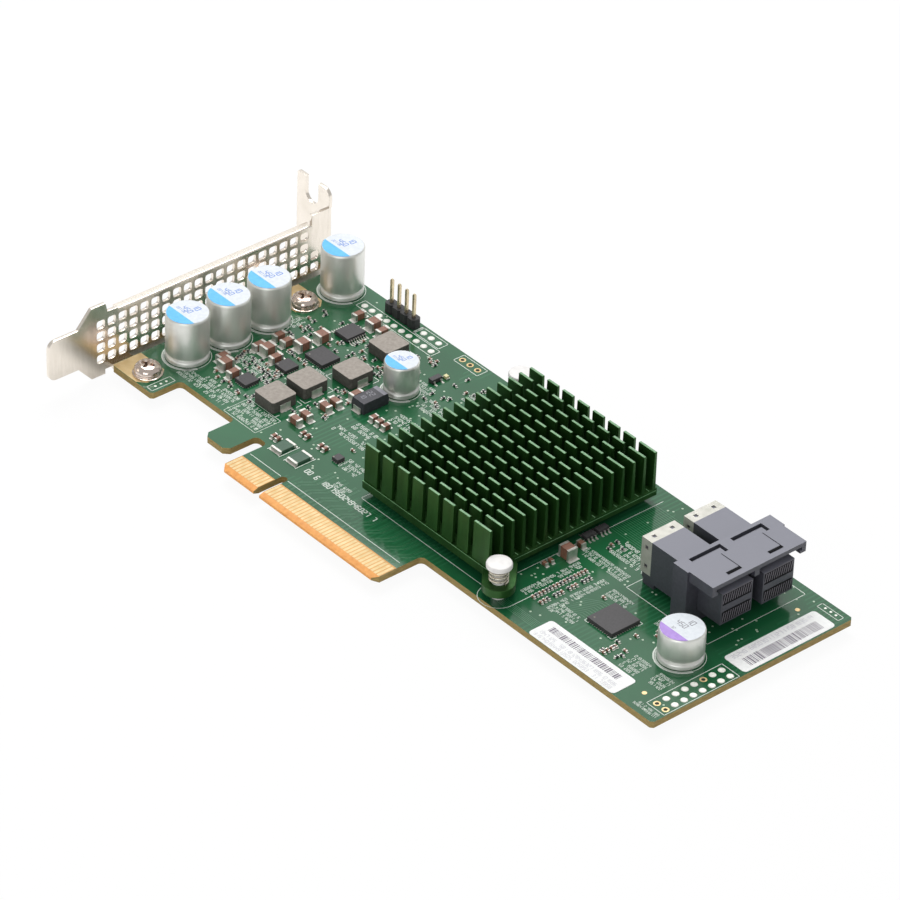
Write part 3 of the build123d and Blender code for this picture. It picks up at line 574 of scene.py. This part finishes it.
for row in range(FIN_ROWS):
    y = CHIP_Y + (row - 7.5) * FIN_PITCH
    for x0, x1 in starts:
        # Each fin's top cap takes the paler material: painted highlight.
        sink.solid([[(x0, y - w, z), (x1, y - w, z), (x1, y + w, z), (x0, y + w, z)]
                    for w, z in ((0.52, 3.6), (0.36, FIN_TOP))], 0, (0, 1))
# Painted highlights: bright lines along the base's +X side and its -Y edge, and a short line of painted light
# on the base between each pair of rows
edge_x, low_y, high_y, highlight_z = CHIP_X + 20.215, CHIP_Y - 23.6, CHIP_Y + 23.6, 3.706
sink.face([(edge_x, low_y, 3.0), (edge_x, high_y, 3.0), (edge_x, high_y, 3.13), (edge_x, low_y, 3.13)], 2)
low_y = CHIP_Y - SINK_HALF_Y
sink.flat(CHIP_X - 20.1, CHIP_X + 20.1, low_y, low_y + 0.14, highlight_z, 2)
for row in range(FIN_ROWS - 1):
    y = CHIP_Y + (row - 7) * FIN_PITCH
    sink.flat(CHIP_X + 19.1, CHIP_X + 20.15, y, y + 0.16, highlight_z, 2)
sink.done(bevel=0.1, steps=1)

# Push pins with their springs
nylon = Piece("push_pin_pair", "pin_cream", pin_plastic, replaces=("push_pins",))
coils = Piece("push_pin_springs", "spring_steel", spring_metal)
PIN = [(0, -3.77), (1.0, -3.77), (1.9, -1.9), (2.0, -1.67), (1.5, -1.66), (1.5, 7.45), (2.6, 7.5), (2.8, 7.65),
       (2.8, 8.35), (2.62, 8.65), (2.1, 8.82), (1.2, 8.88), (0, 8.9)]
COIL_TURNS, COIL_LOW, COIL_HIGH, COIL_RADIUS = 3.6, 3.95, 7.25, 1.95
for x, y in lugs:
    nylon.lathe(x, y, PIN, 0, 40)
    path = []
    for i in range(int(COIL_TURNS * 20) + 1):
        t = i / (COIL_TURNS * 20)
        angle = 2 * math.pi * COIL_TURNS * t
        path.append((x + COIL_RADIUS * math.cos(angle), y + COIL_RADIUS * math.sin(angle),
                     COIL_LOW + (COIL_HIGH - COIL_LOW) * t))
    coils.tube(path, 0.24)
nylon.done()
coils.done()

# Polymer capacitors: can, print and the rings drawn round them on the board
SILK_Z, INK_GAP = 0.014, 0.004
WHITE, BLUE, PURPLE, BLUE_INK, GREY_INK = 1, 2, 3, 4, 5
cans = Piece("polymer_cans", "can_silver", can_metal, can_white, can_blue, can_purple, ink_blue, ink_grey,
             replaces=("capacitor_cans",))
silk_print = Piece("silk_print", "silk_white", silk)
LIT = ("abcdef", "bc", "abged", "abgcd", "fgbc", "afgcd", "afgedc", "abc", "abcdefg", "abcdfg")


def digit(piece, x, y, height, value, kind, z, spin=0.0, weight=0.14):
    """One plain numeral made of seven short bars."""
    w, h, half = height * 0.5, weight * height / 2, height / 2
    bars = {"a": (0, height, w, height), "b": (w, half, w, height), "c": (w, 0, w, half), "d": (0, 0, w, 0),
            "e": (0, 0, 0, half), "f": (0, half, 0, height), "g": (0, half, w, half)}
    c, s = math.cos(spin), math.sin(spin)
    for key in LIT[value]:
        x0, y0, x1, y1 = bars[key]
        if x0 == x1:
            corners = [(x0 - h, y0), (x0 + h, y0), (x0 + h, y1), (x0 - h, y1)]
        else:
            corners = [(x0, y0 - h), (x1, y0 - h), (x1, y0 + h), (x0, y0 + h)]
        piece.face([(x + a * c - b * s, y + a * s + b * c, z) for a, b in corners], kind)


def number(piece, x, y, height, digits, kind, z):
    for i, value in enumerate(digits):
        digit(piece, x + height * 0.78 * i, y, height, value, kind, z)


def ring(piece, x, y, inner, outer, start=0, end=360, kind=0, z=SILK_Z, steps=40):
    a, b = arc(x, y, inner, start, end, steps), arc(x, y, outer, start, end, steps)
    for i in range(steps):
        piece.face([(*a[i], z), (*b[i], z), (*b[i + 1], z), (*a[i + 1], z)], kind)


# Place, radius, height, print and how far the print's straight edge stands from the middle
can_list = [(-49.02, 20.0, 4.95, 11.6, BLUE, -1.6), (-49.02, 31.5, 4.95, 11.6, BLUE, -1.6),
            (-49.02, 42.9, 4.95, 11.6, BLUE, -1.6), (-48.32, 63.4, 4.95, 12.1, BLUE, -1.6),
            (-10.1, 48.5, 3.95, 8.0, BLUE, -1.2), (97.85, 32.05, 4.95, 7.6, PURPLE, -2.2)]
for x, y, r, h, paint, chord in can_list:
    cans.lathe(x, y, [(0, 0), (r - 0.4, 0), (r, 0.2), (r, 0.95), (r - 0.12, 1.15), (r - 0.42, 1.35),
                      (r - 0.48, 1.55), (r - 0.42, 1.75), (r - 0.12, 1.95), (r, 2.15), (r, h - 0.55),
                      (r - 0.07, h - 0.25), (r - 0.25, h - 0.06), (r - 0.5, h), (0, h)], 0, 56)
    top, rim_r = h + INK_GAP, r - 0.28
    at = math.degrees(math.asin(chord / rim_r))
    cans.face([(px, py, top) for px, py in arc(x, y, rim_r, at, 180 - at, 40)], WHITE)
    cans.face([(px, py, top) for px, py in arc(x, y, rim_r, 180 - at, 360 + at, 40)], paint)
    top += INK_GAP
    ink = BLUE_INK if paint == BLUE else GREY_INK
    number(cans, x - r * 0.18, y + r * 0.36, r * 0.28, (1, 0), ink, top)
    number(cans, x - r * 0.42, y - r * 0.02, r * 0.26, (4, 5, 0), ink, top)
    if paint == BLUE:
        number(cans, x - r * 0.62, y - r * 0.17, r * 0.13, (2, 0, 7, 1, 3, 6), ink, top)
    else:
        number(cans, x - r * 0.3, y - r * 0.38, r * 0.13, (3, 2), ink, top)
    ring(silk_print, x, y, r + 0.32, r + 0.45)
    ring(silk_print, x, y, r + 0.12, r + 0.78, 195, 345)
cans.done()

# Four-pin header
housing = Piece("header_shell", "header_black", header_plastic, replaces=("header_housing",))
pins = Piece("header_pin_row", "contact_gold", pin_metal, solder, replaces=("header_pins",))
for i in range(4):
    x, y = -31.3 + (i - 1.5) * HOLE_PITCH, 66.75
    housing.prism(clipped(x, y, 1.27, 1.25, 0.5), 0, 2.5)
    pins.solid([[(x + sx * a, y + sy * a, z) for sx, sy in SQUARE]
                for a, z in ((0.2, -2.87), (0.32, -2.6), (0.32, 8.3), (0.2, 8.6))], 0, (0, 0))
    pins.lathe(x, y, [(0.85, UNDER - 0.01), (0.6, UNDER - 0.35), (0.4, UNDER - 0.9)], 1, 16)
housing.done(bevel=0.06, steps=1)
pins.done()

# Power inductors
cores = Piece("inductor_blocks", "inductor_grey", inductor_painted_side, inductor_painted_top,
              replaces=("inductor_1", "inductor_2", "inductor_3", "inductor_4"))
ends = Piece("inductor_ends", "tin_plate", tin, replaces=("inductor_terminals",))
inductors = ((-23.3, 24.0), (-23.3, 32.8), (-20.1, 43.1), (-23.0, 55.8))
for x, y in inductors:
    # Sides take the darker material and the top the lighter: painted shade and painted light.
    cores.prism(clipped(x, y, 3.35, 3.4, 0.45), 0, 2.8, 0, top=1)
    for side in (-1, 1):
        ends.block(x + side * 3.45, y, 0.2, 2.9, 0.02, 1.7)
        ends.block(x + side * 3.75, y, 0.7, 3.1, 0.005, 0.12)
cores.done(bevel=0.14)
ends.done(bevel=0.04, steps=1)

# Tantalum capacitor
tantalum = Piece("tantalum_block", "tantalum_brown", tantalum_body, ink_grey, replaces=("tantalum_capacitor",))
tantalum_ends = Piece("tantalum_ends", "tin_plate", tin, replaces=("tantalum_terminals",))
x, y, print_z = -9.8, 39.5, 2.757
tantalum.solid([[(x + sx * w, y + sy * l, z) for sx, sy in SQUARE]
                for w, l, z in ((1.98, 3.55, 0), (2.05, 3.65, 1.3), (1.93, 3.4, 2.75))], 0, (0, 0))
tantalum.flat(x - 1.9, x + 1.9, y + 2.3, y + 3.38, print_z, 1)
number(tantalum, x - 1.2, y - 0.2, 1.3, (2, 2), 1, print_z)
number(tantalum, x - 1.3, y - 2.2, 1.1, (1, 0), 1, print_z)
for side in (-1, 1):
    tantalum_ends.block(x, y + side * 3.72, 2.4, 0.2, 0.02, 1.3)
    tantalum_ends.block(x, y + side * 4.0, 2.6, 0.7, 0.005, 0.12)
tantalum.done(bevel=0.08)
tantalum_ends.done(bevel=0.04, steps=1)

# Chips
chips = Piece("chip_bodies", "chip_black", chip_plastic, chip_mark,
              replaces=("timing_chip", "driver_chip", "sense_chip", "transistor", "power_chip_1",
                        "power_chip_2", "power_chip_3", "logic_chip", "sensor_chip"))
leads = Piece("chip_leads", "tin_plate", tin)


def lead(x, y, side, reach=1.0, width=0.26):
    """One gull-wing lead leaving a chip along X."""
    path = [(x + side * reach * part, z) for part, z in ((0, 0.6), (0.35, 0.6), (0.55, 0.12), (1, 0.12))]
    low, high, thick = y - width / 2, y + width / 2, 0.13
    for run in zip(path, path[1:]):
        rings = [[(a, low, b), (a, high, b), (a, high, b - thick), (a, low, b - thick)] for a, b in run]
        leads.solid(rings, 0, (0, 0))
    leads.block(x + side * (reach + 0.05), y, reach * 0.9, width + 0.08, 0.004, 0.03)


# Flat chips: place, length, width and height, with pads of even pitch round each
flat_list = ((-29.9, 42.6, 6.0, 5.2, 1.0), (-32.1, 34.3, 3.8, 3.8, 0.9), (-33.2, 24.0, 3.8, 3.8, 0.9),
             (80.7, 29.15, 7.6, 7.9, 0.95), (1.8, 21.0, 2.0, 2.0, 0.9))
for x, y, length, width, height in flat_list:
    chips.block(x, y, length, width, 0.02, height)
    ring(chips, x - length * 0.36, y - width * 0.36, 0.0, 0.22, kind=1, z=height + INK_GAP, steps=12)
    for side in (-1, 1):
        n = max(3, int(length / 0.65))
        for i in range(n):
            leads.block(x + (i - (n - 1) / 2) * 0.62, y + side * (width / 2 + 0.12), 0.28, 0.3, 0.004, 0.05)
        n = max(3, int(width / 0.65))
        for i in range(n):
            leads.block(x + side * (length / 2 + 0.12), y + (i - (n - 1) / 2) * 0.62, 0.3, 0.28, 0.004, 0.05)
for x, y, length, width in ((-33.5, 53.5, 4.4, 5.2), (55.6, 48.35, 1.6, 2.9), (55.6, 44.75, 1.6, 2.9),
                            (-8.2, 56.7, 1.4, 2.9)):
    chips.block(x, y, length, width, 0.1, 1.1)
for i in range(8):
    for side in (-1, 1):
        lead(-33.5 + side * 2.2, 53.5 + (i - 3.5) * 0.65, side)
for y in (49.35, 48.35, 47.35, 45.75, 44.75, 43.75):
    lead(56.4, y, 1, 0.7, 0.4)
    lead(54.8, y, -1, 0.7, 0.4)
for x, y, side in ((-7.5, 57.65, 1), (-7.5, 55.75, 1), (-8.9, 56.7, -1)):
    lead(x, y, side, 0.7, 0.42)
chips.done(bevel=0.07)
leads.done()

# Ceramic capacitors and the other small two-ended parts
smalls = Piece("ceramic_chips", "ceramic_brown", ceramic, tin, solder, replaces=(
    "small_ceramics", "medium_ceramics", "large_ceramics", "wide_ceramics", "tall_ceramics"))
tiny = Piece("tiny_chips", "ceramic_brown", ceramic, tin, solder, black_body)


def two_ended(piece, x, y, length, width, height, along_y=False, body=0):
    """A chip with a plated cap at each end, standing on two pads."""
    def put(u, span, across, z0, z1, kind):
        if along_y:
            piece.block(x, y + u, across, span, z0, z1, kind)
        else:
            piece.block(x + u, y, span, across, z0, z1, kind)
    end = length * 0.19
    put(0, length - 2 * end, width * 0.97, 0.03, height * 0.98, body)
    for side in (-1, 1):
        put(side * (length - end) / 2, end, width, 0.01, height, 1)
        put(side * (length / 2 + end * 0.1), end * 2.0, width * 1.12, 0.003, 0.07, 2)


ceramic_sizes = {"small": (1.6, 0.8, 0.8), "medium": (2.0, 1.25, 1.25), "large": (3.2, 1.6, 1.6),
                 "wide": (3.2, 2.5, 2.1), "tall": (3.2, 2.5, 2.8)}
up_list = {
    "large": ((-37.4, 59.25), (-29.2, 59.25), (-39.0, 40.0), (-41.8, 40.1), (-41.6, 34.2), (-35.6, 34.1),
              (-36.8, 23.2), (-43.1, 25.3), (-13.9, 38.9)),
    "wide": ((-32.5, 59.5), (-35.7, 47.25), (-35.9, 41.9), (-39.2, 34.8), (-40.5, 23.9)),
    "medium": ((-4.9, 36.5), (-2.9, 36.5), (-0.9, 36.5)),
    "small": ((-10.1, 21.1), (-8.6, 21.1), (-4.2, 21.1), (-2.7, 21.1), (-13.2, 15.5), (-11.9, 15.5)),
}
across_list = {
    "large": ((-14.5, 33.6), (-14.5, 30.8), (-14.5, 25.4), (-14.5, 22.55)), "medium": ((57.0, 41.3),),
    "small": ((57.2, 32.7), (57.2, 31.0)), "tall": ((58.0, 36.7),),
}
# Rectangles on the board that are taken: low and high X, low and high Y
taken = [(x - l / 2 - 1.0, x + l / 2 + 1.0, y - w / 2 - 0.4, y + w / 2 + 0.4) for x, y, l, w, _ in flat_list]
taken += [(x - 4.2, x + 4.2, y - 3.6, y + 3.6) for x, y in inductors]
taken += [(x - r - 0.9, x + r + 0.9, y - r - 0.9, y + r + 0.9) for x, y, r, *_ in can_list]
taken += [(72.0, 99.1, 12.8, 20.0), (102.9, 110.4, 38.2, 64.9)]
taken += [(-37.0, -30.0, 50.6, 56.4), (-12.1, -7.5, 34.9, 44.1), (-10.6, -5.8, 55.0, 60.2)]
for table, along in ((up_list, True), (across_list, False)):
    for name, places in table.items():
        length, width, height = ceramic_sizes[name]
        for x, y in places:
            two_ended(smalls, x, y, length, width, height, along)
            dx, dy = (width, length) if along else (length, width)
            taken.append((x - dx / 2 - 0.3, x + dx / 2 + 0.3, y - dy / 2 - 0.3, y + dy / 2 + 0.3))
smalls.done(bevel=0.06, steps=1)


def free(x, y, dx, dy):
    """Takes a rectangle about a place if nothing stands there yet."""
    box = (x - dx / 2, x + dx / 2, y - dy / 2, y + dy / 2)
    if any(box[0] < t[1] and box[1] > t[0] and box[2] < t[3] and box[3] > t[2] for t in taken):
        return False
    taken.append(box)
    return True


# Chips of one millimetre: rows that the photograph shows, then the crowded supply area
for x in (64.3, 66.7):
    for i in range(16):
        if x < 65 or i % 4 != 3:
            two_ended(tiny, x, 21.6 + 0.97 * i, 1.0, 0.5, 0.5, body=rng.choice((0, 0, 3)))
for x, y in ((1.2, 25.6), (73.5, 33.0), (87.3, 29.5), (87.3, 20.5), (87.3, 21.6), (87.3, 22.7), (87.3, 23.8),
             (60.8, 46.6), (60.8, 48.2), (61.5, 45.2), (63.4, 47.4)):
    two_ended(tiny, x, y, 1.0, 0.5, 0.5, body=rng.choice((0, 3)))
for low_x, high_x, low_y, high_y, wanted in (
        (-45.0, -26.6, 19.5, 58.0, 95), (-19.0, -12.0, 20.0, 62.0, 34), (-44.0, -28.0, 26.5, 33.5, 24),
        (-6.0, 8.0, 50.0, 64.0, 16), (-28.0, -17.0, 47.5, 52.0, 12), (86.0, 92.0, 14.0, 34.0, 8)):
    for _ in range(wanted * 3):
        along = rng.random() < 0.5
        x = round(rng.uniform(low_x, high_x) / 0.4) * 0.4
        y = round(rng.uniform(low_y, high_y) / 0.4) * 0.4
        dx, dy = (0.75, 1.45) if along else (1.45, 0.75)
        if free(x, y, dx, dy):
            two_ended(tiny, x, y, 1.0, 0.5, 0.45, along, body=rng.choice((0, 3, 3)))
            wanted -= 1
        if wanted <= 0:
            break
tiny.done()

# Indicator lamp and flat fuses
LAMP_X, LAMP_Y, FUSES_X, FUSES_Y = -7.6, 59.3, (-8.85, -3.4), 14.6
lamp = Piece("lamp", "lamp_clear", lamp_body, tin, replaces=("indicator_lamp",))
lamp.block(LAMP_X, LAMP_Y, 1.0, 0.95, 0.1, 0.8)
for side in (-1, 1):
    lamp.block(LAMP_X + side * 0.65, LAMP_Y, 0.3, 1.0, 0.01, 0.35, 1)
lamp.done(bevel=0.06, steps=1)
fuse = Piece("flat_fuses", "fuse_green", fuse_body, tin, replaces=("fuses",))
for x in FUSES_X:
    fuse.block(x, FUSES_Y, 3.05, 3.4, 0.03, 0.78)
    for side in (-1, 1):
        fuse.block(x, FUSES_Y + side * 2.0, 3.1, 0.62, 0.01, 0.8, 1)
        fuse.block(x, FUSES_Y + side * 2.35, 3.3, 0.7, 0.004, 0.08, 1)
fuse.done(bevel=0.06, steps=1)

# Labels with plain bars
PAPER_TOP = 0.1
PAPER_INK = PAPER_TOP + INK_GAP
labels = Piece("labels", "label_white", label_paper, label_ink, faint_ink,
               replaces=("bottom_label", "end_label"))
labels.prism(rounded(72.5, 98.6, 12.86, 19.5, 0.9), 0.003, PAPER_TOP)
labels.prism(rounded(103.4, 110.0, 38.7, 64.4, 0.9), 0.003, PAPER_TOP)


def bars(along, start, end, low, high):
    """A run of upright bars of uneven width, as on any bar strip."""
    at = start
    while at < end:
        wide = rng.choice((0.14, 0.14, 0.26, 0.4))
        spot = (at, at + wide, low, high) if along == "x" else (low, high, at, at + wide)
        labels.flat(*spot, PAPER_INK, 1)
        at += wide + rng.choice((0.16, 0.2, 0.3))


def marks(piece, x0, x1, y0, y1, rows, along="x", kind=0, z=SILK_Z, weight=0.15):
    """Rows of small plain numerals where the photograph shows small print."""
    low, high, start, stop = (y0, y1, x0, x1) if along == "x" else (x0, x1, y0, y1)
    span = (high - low) / rows
    height = span * 0.66
    for row in range(rows):
        base, at = low + (row + 0.16) * span, start
        while at < stop - height * 0.5:
            if rng.random() < 0.85:
                value = rng.randrange(10)
                if along == "x":
                    digit(piece, at, base, height, value, kind, z, weight=weight)
                else:
                    digit(piece, base + height, at, height, value, kind, z, math.pi / 2, weight)
            at += height * 0.8


bars("x", 74.6, 95.4, 16.5, 18.3)
marks(labels, 73.6, 97.4, 13.2, 15.9, 2, kind=2, z=PAPER_INK)
bars("y", 41.3, 61.8, 106.2, 109.0)
marks(labels, 103.9, 105.5, 40.0, 62.8, 1, along="y", kind=2, z=PAPER_INK)
labels.done()


# Silk: outlines, boxes and generic print
def stroke(piece, x0, y0, x1, y1, width, z):
    """A straight line on the board with square ends that reach half its width too far."""
    d = Vector((x1 - x0, y1 - y0)).normalized() * width / 2
    n = Vector((-d.y, d.x))
    piece.face([(x0 - d.x + n.x, y0 - d.y + n.y, z), (x0 - d.x - n.x, y0 - d.y - n.y, z),
                (x1 + d.x - n.x, y1 + d.y - n.y, z), (x1 + d.x + n.x, y1 + d.y + n.y, z)])


def line(x0, y0, x1, y1, width=0.16):
    stroke(silk_print, x0, y0, x1, y1, width, SILK_Z)


def frame_box(x0, x1, y0, y1, width=0.16):
    for ends_of in ((x0, y0, x1, y0), (x1, y0, x1, y1), (x1, y1, x0, y1), (x0, y1, x0, y0)):
        line(*ends_of, width)


def corner_marks(x, y, half_x, half_y, inner_x, inner_y):
    """Four corners of a rectangle, each with a leg inwards along both sides."""
    for sx in (-1, 1):
        for sy in (-1, 1):
            line(x + sx * half_x, y + sy * half_y, x + sx * half_x, y + sy * inner_y)
            line(x + sx * half_x, y + sy * half_y, x + sx * inner_x, y + sy * half_y)


for box in ((104.8, 110.1, 16.4, 37.1), (-41.9, -16.2, 62.1, 64.9), (-25.6, -17.3, 65.3, 68.2),
            (-12.0, -4.1, 65.2, 68.3), (-45.1, -43.1, 5.6, 12.0), (102.7, 109.0, 65.9, 67.5),
            (73.5, 98.2, 39.2, 66.9), (-27.9, -17.0, 13.3, 20.4, 0.12), (-25.9, -25.5, 65.3, 68.3, 0.3)):
    frame_box(*box)
for ends_of in ((-11.5, 7.65, -1.2, 7.65), (1.2, 7.65, 38.0, 7.65), (15.4, 16.1, 55.1, 16.1),
                (15.4, 16.1, 15.4, 66.0), (55.8, 21.0, 55.8, 65.6)):
    line(*ends_of)
for x, y in lugs:
    for start, end in ((180, 360),) if x > CHIP_X else ((0, 48), (132, 180)):
        ring(silk_print, x, y, 4.25, 4.4, start, end, steps=24)
lug_x, lug_y = lugs[0]
line(lug_x + 4.32, lug_y, lug_x + 4.32, lug_y + 5.5)
line(lug_x - 4.32, lug_y, lug_x - 4.32, lug_y - 0.3)
for x, y in inductors:
    corner_marks(x, y, 4.3, 4.0, 2.6, 2.4)
corner_marks(80.7, 29.15, 4.2, 4.3, 3.0, 3.0)
for x in FUSES_X:
    for sx in (-1, 1):
        line(x + sx * 1.95, 11.8, x + sx * 1.95, 17.4, 0.2)
# Fields of small numerals: low and high X, low and high Y, rows
for field in (
        (-8.2, 2.8, 27.1, 29.8, 2), (3.2, 9.0, 19.5, 23.5, 3), (-6.0, 1.0, 30.8, 33.6, 2),
        (-27.3, -17.6, 13.8, 20.0, 5), (-40.0, -28.5, 14.0, 19.0, 4), (-45.5, -40.0, 14.0, 17.5, 3),
        (-12.0, -5.0, 50.6, 54.6, 4), (-3.5, 6.0, 47.0, 51.5, 4), (0.5, 9.0, 56.5, 60.5, 4),
        (-3.0, 9.0, 39.0, 43.0, 3), (58.5, 71.5, 39.4, 42.6, 3), (62.0, 72.0, 44.5, 50.0, 4),
        (72.5, 79.0, 33.9, 36.9, 3), (70.5, 76.2, 21.8, 25.0, 3), (86.2, 91.0, 35.2, 38.6, 3),
        (92.0, 97.0, 20.0, 25.6, 5), (99.5, 104.0, 21.0, 25.5, 4), (103.0, 109.5, 14.1, 15.9, 2),
        (9.5, 13.0, 24.0, 30.0, 5), (8.0, 13.0, 14.0, 16.2, 2), (-36.0, -27.0, 60.9, 62.0, 1),
        (-41.0, -30.5, 27.0, 31.5, 4), (-45.8, -42.8, 44.0, 49.0, 4), (-28.0, -24.0, 36.6, 39.6, 3)):
    marks(silk_print, *field)
for x0, x1 in ((60.6, 62.8), (68.3, 70.5)):
    marks(silk_print, x0, x1, 21.2, 37.7, 2, along="y")
marks(silk_print, 0.5, 24.0, 12.3, 14.3, 1, weight=0.18)
silk_print.done()

# Covered tracks and via dots
tracks = Piece("covered_tracks", "board_green", track, via_tin)


def route(points):
    for a, b in zip(points, points[1:]):
        stroke(tracks, *a, *b, 0.14, 0.006)


def bundle(points, count, pitch):
    """Lines side by side along one path, evenly spaced through its corners."""
    points = [Vector(p) for p in points]
    normals = []
    for a, b in zip(points, points[1:]):
        d = (b - a).normalized()
        normals.append(Vector((-d.y, d.x)))
    for i in range(count):
        shifted = []
        for k, p in enumerate(points):
            before, after = normals[max(k - 1, 0)], normals[min(k, len(normals) - 1)]
            shifted.append(tuple(p - (before + after) / (1 + before.dot(after)) * pitch * i))
        route(shifted)


for i in range(30):
    if i % 3 != 2:
        for x in (2.5 + i * 1.22, 2.5 + i * 1.22 + 0.32):
            route([(x, 6.2), (x, 9.0), (x + 2.0, 11.6), (x + 2.0, 17.5)])
for i in range(22):
    y = 50.5 + 0.62 * i
    route([(55.4, y), (66.0 + 0.2 * (i % 3), y), (73.8, y)])
for i in range(10):
    y = 23.0 + 0.75 * i
    route([(71.0, y), (74.5, y + 2.5), (76.0, y + 2.5)])
bundle([(58.2, 20.4), (61.6, 17.0), (71.6, 17.0)], 6, 0.42)
bundle([(18.0, 14.6), (18.0, 17.0)], 14, 0.5)
for _ in range(430):
    x, y = rng.uniform(-41, 108), rng.uniform(13.8, 67.5)
    if not (12 < x < 56) and free(x, y, 0.5, 0.5):
        tracks.lathe(x, y, [(0.26, 0.0), (0.26, 0.008), (0, 0.008)], 1, 8)
tracks.done()

# Drive connector and the parts under the heatsink: the CAD's own solids with their materials
for name, material in (
        ("connector_housing", port_plastic), ("contact_module_1", port_plastic),
        ("contact_module_2", port_plastic), ("module_clip_1", clip_metal), ("module_clip_2", clip_metal),
        ("controller_chip", chip_plastic), ("thermal_pad", pad_grey)):
    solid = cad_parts[name]
    solid.data.materials.clear()
    solid.data.materials.append(material)
    if material in (port_plastic, clip_metal):
        ease(solid, 0.09, 2, math.radians(40))

detail = Piece("connector_detail", "connector_grey", port_painted_shade, port_comb)
FRONT, ROOF, PORTS_Y = 98.0, 13.9, (46.95, 58.6)


def front(y0, y1, z0, z1, out, kind, lean=0.0):
    """A patch on the ports' front whose upper edge leans to one side."""
    x = FRONT + out
    detail.face([(x, y0, z0), (x, y1, z0), (x, y1 + lean, z1), (x, y0 + lean, z1)], kind)


for y in PORTS_Y:
    for low, high in ((7.85, 10.62), (3.5, 6.2)):
        # Dark patches over each port's two openings: painted shade standing in for the cavities.
        front(y - 4.0, y + 4.0, low, high, 0.02, 0)
    for i in range(12):
        at = y + (i - 5.5) * 0.66
        for low, high in ((8.3, 10.5), (3.6, 5.9)):
            front(at - 0.34, at - 0.12, low, high, 0.04, 1, lean=0.44)
    front(y - 4.1, y + 4.1, 10.72, 10.86, 0.03, 1)
    # The spring tongue cut into the roof: one long side and its front end, drawn as dark strips of painted
    # shade
    detail.flat(90.3, 96.4, y + 2.15, y + 2.33, ROOF + 0.03)
    detail.flat(95.7, 96.6, y - 1.5, y + 2.3, ROOF + 0.035)
detail.done()

# Solder joints on the far face
under = Piece("under_side", "solder", solder)
for x, y, *_ in can_list:
    for side in (-1, 1):
        under.lathe(x, y + side * 2.5, [(1.0, UNDER + 0.01), (0.7, UNDER - 0.3), (0.35, UNDER - 1.0),
                                        (0.3, UNDER - 1.4), (0, UNDER - 1.4)], 0, 16)
joints = [(x, HOLES_Y + HOLE_PITCH * i) for x in HOLES_X for i in range(8)]
joints += [(TOP_HOLES_X + HOLE_PITCH * i, TOP_HOLES_Y) for i in range(10)]
for x, y in joints:
    under.lathe(x, y, [(PAD_RADIUS, UNDER + 0.01), (PAD_RADIUS, UNDER - 0.04), (0.5, UNDER - 0.12),
                       (0, UNDER - 0.15)], 0, 14)
under.done()

# Floor, light and camera; lengths from here on are in metres
FLOOR_Z, WHITE_LIGHT = -0.00378, (1, 1, 1, 1)
floor_mesh = bpy.data.meshes.new("floor")
floor_mesh.from_pydata([(2 * sx, 2 * sy, FLOOR_Z) for sx, sy in SQUARE], [], [(0, 1, 2, 3)])
floor = bpy.data.objects.new("floor", floor_mesh)
show(floor)
pale = surface("pale_floor", (236, 236, 236), (240, 240, 240), rough=0.9, grain=4, specular=0.0)
tree = pale.node_tree
path = node(tree, "LightPath")
share = node(tree, "Math", operation="MULTIPLY")
share.inputs[1].default_value = 0.94
glow = node(tree, "Emission", Color=WHITE_LIGHT)
blend = node(tree, "MixShader")
join(tree, path, "Is Camera Ray", share, 0)
join(tree, share, "Value", blend, "Fac")
join(tree, tree.nodes["Principled BSDF"], "BSDF", blend, 1)
join(tree, glow, "Emission", blend, 2)
join(tree, blend, "Shader", tree.nodes["Material Output"], "Surface")
floor_mesh.materials.append(pale)

world = bpy.data.worlds.new("studio")
bpy.context.scene.world = world
world.use_nodes = True
tree = world.node_tree
back = tree.nodes["Background"]
back.inputs["Color"].default_value = WHITE_LIGHT
path = node(tree, "LightPath")
level = node(tree, "MapRange", To_Min=0.55, To_Max=1.0)
join(tree, path, "Is Camera Ray", level, "Value")
join(tree, level, "Result", back, "Strength")


def lamp_at(name, place, size, power):
    """A rectangular lamp that looks at the middle of the card."""
    data = bpy.data.lights.new(name, "AREA")
    data.shape, data.size, data.size_y, data.energy = "RECTANGLE", size[0], size[1], power
    made = bpy.data.objects.new(name, data)
    made.location = place
    made.rotation_euler = (Vector((0.03, 0.035, 0)) - Vector(place)).to_track_quat("-Z", "Y").to_euler()
    show(made)


lamp_at("key", (-0.25, 0.25, 0.7), (0.5, 0.5), 4.6)
lamp_at("sheen", (-0.635, 0.637, 0.646), (0.9, 0.9), 0.9)
lamp_at("fill", (0.35, -0.6, 0.35), (0.5, 0.4), 1.3)

# The camera that the photograph's own sizes give
camera_data = bpy.data.cameras.new("camera")
camera_data.sensor_width, camera_data.lens = 36.0, 208.788
camera_data.clip_start, camera_data.clip_end = 0.05, 10.0
camera = bpy.data.objects.new("camera", camera_data)
right, down = Vector((0.6491, 0.7600, 0.0323)).normalized(), Vector((0.4560, -0.3548, -0.8162))
look = right.cross(down).normalized()
up = look.cross(right) * -1
place = (0.6950, -0.5671, 0.6456)
camera.matrix_world = Matrix([(right[i], up[i], -look[i], place[i]) for i in range(3)] + [(0, 0, 0, 1)])
show(camera)
bpy.context.scene.camera = camera

bpy.context.scene.view_settings.view_transform = "Standard"
bpy.context.view_layer.update()
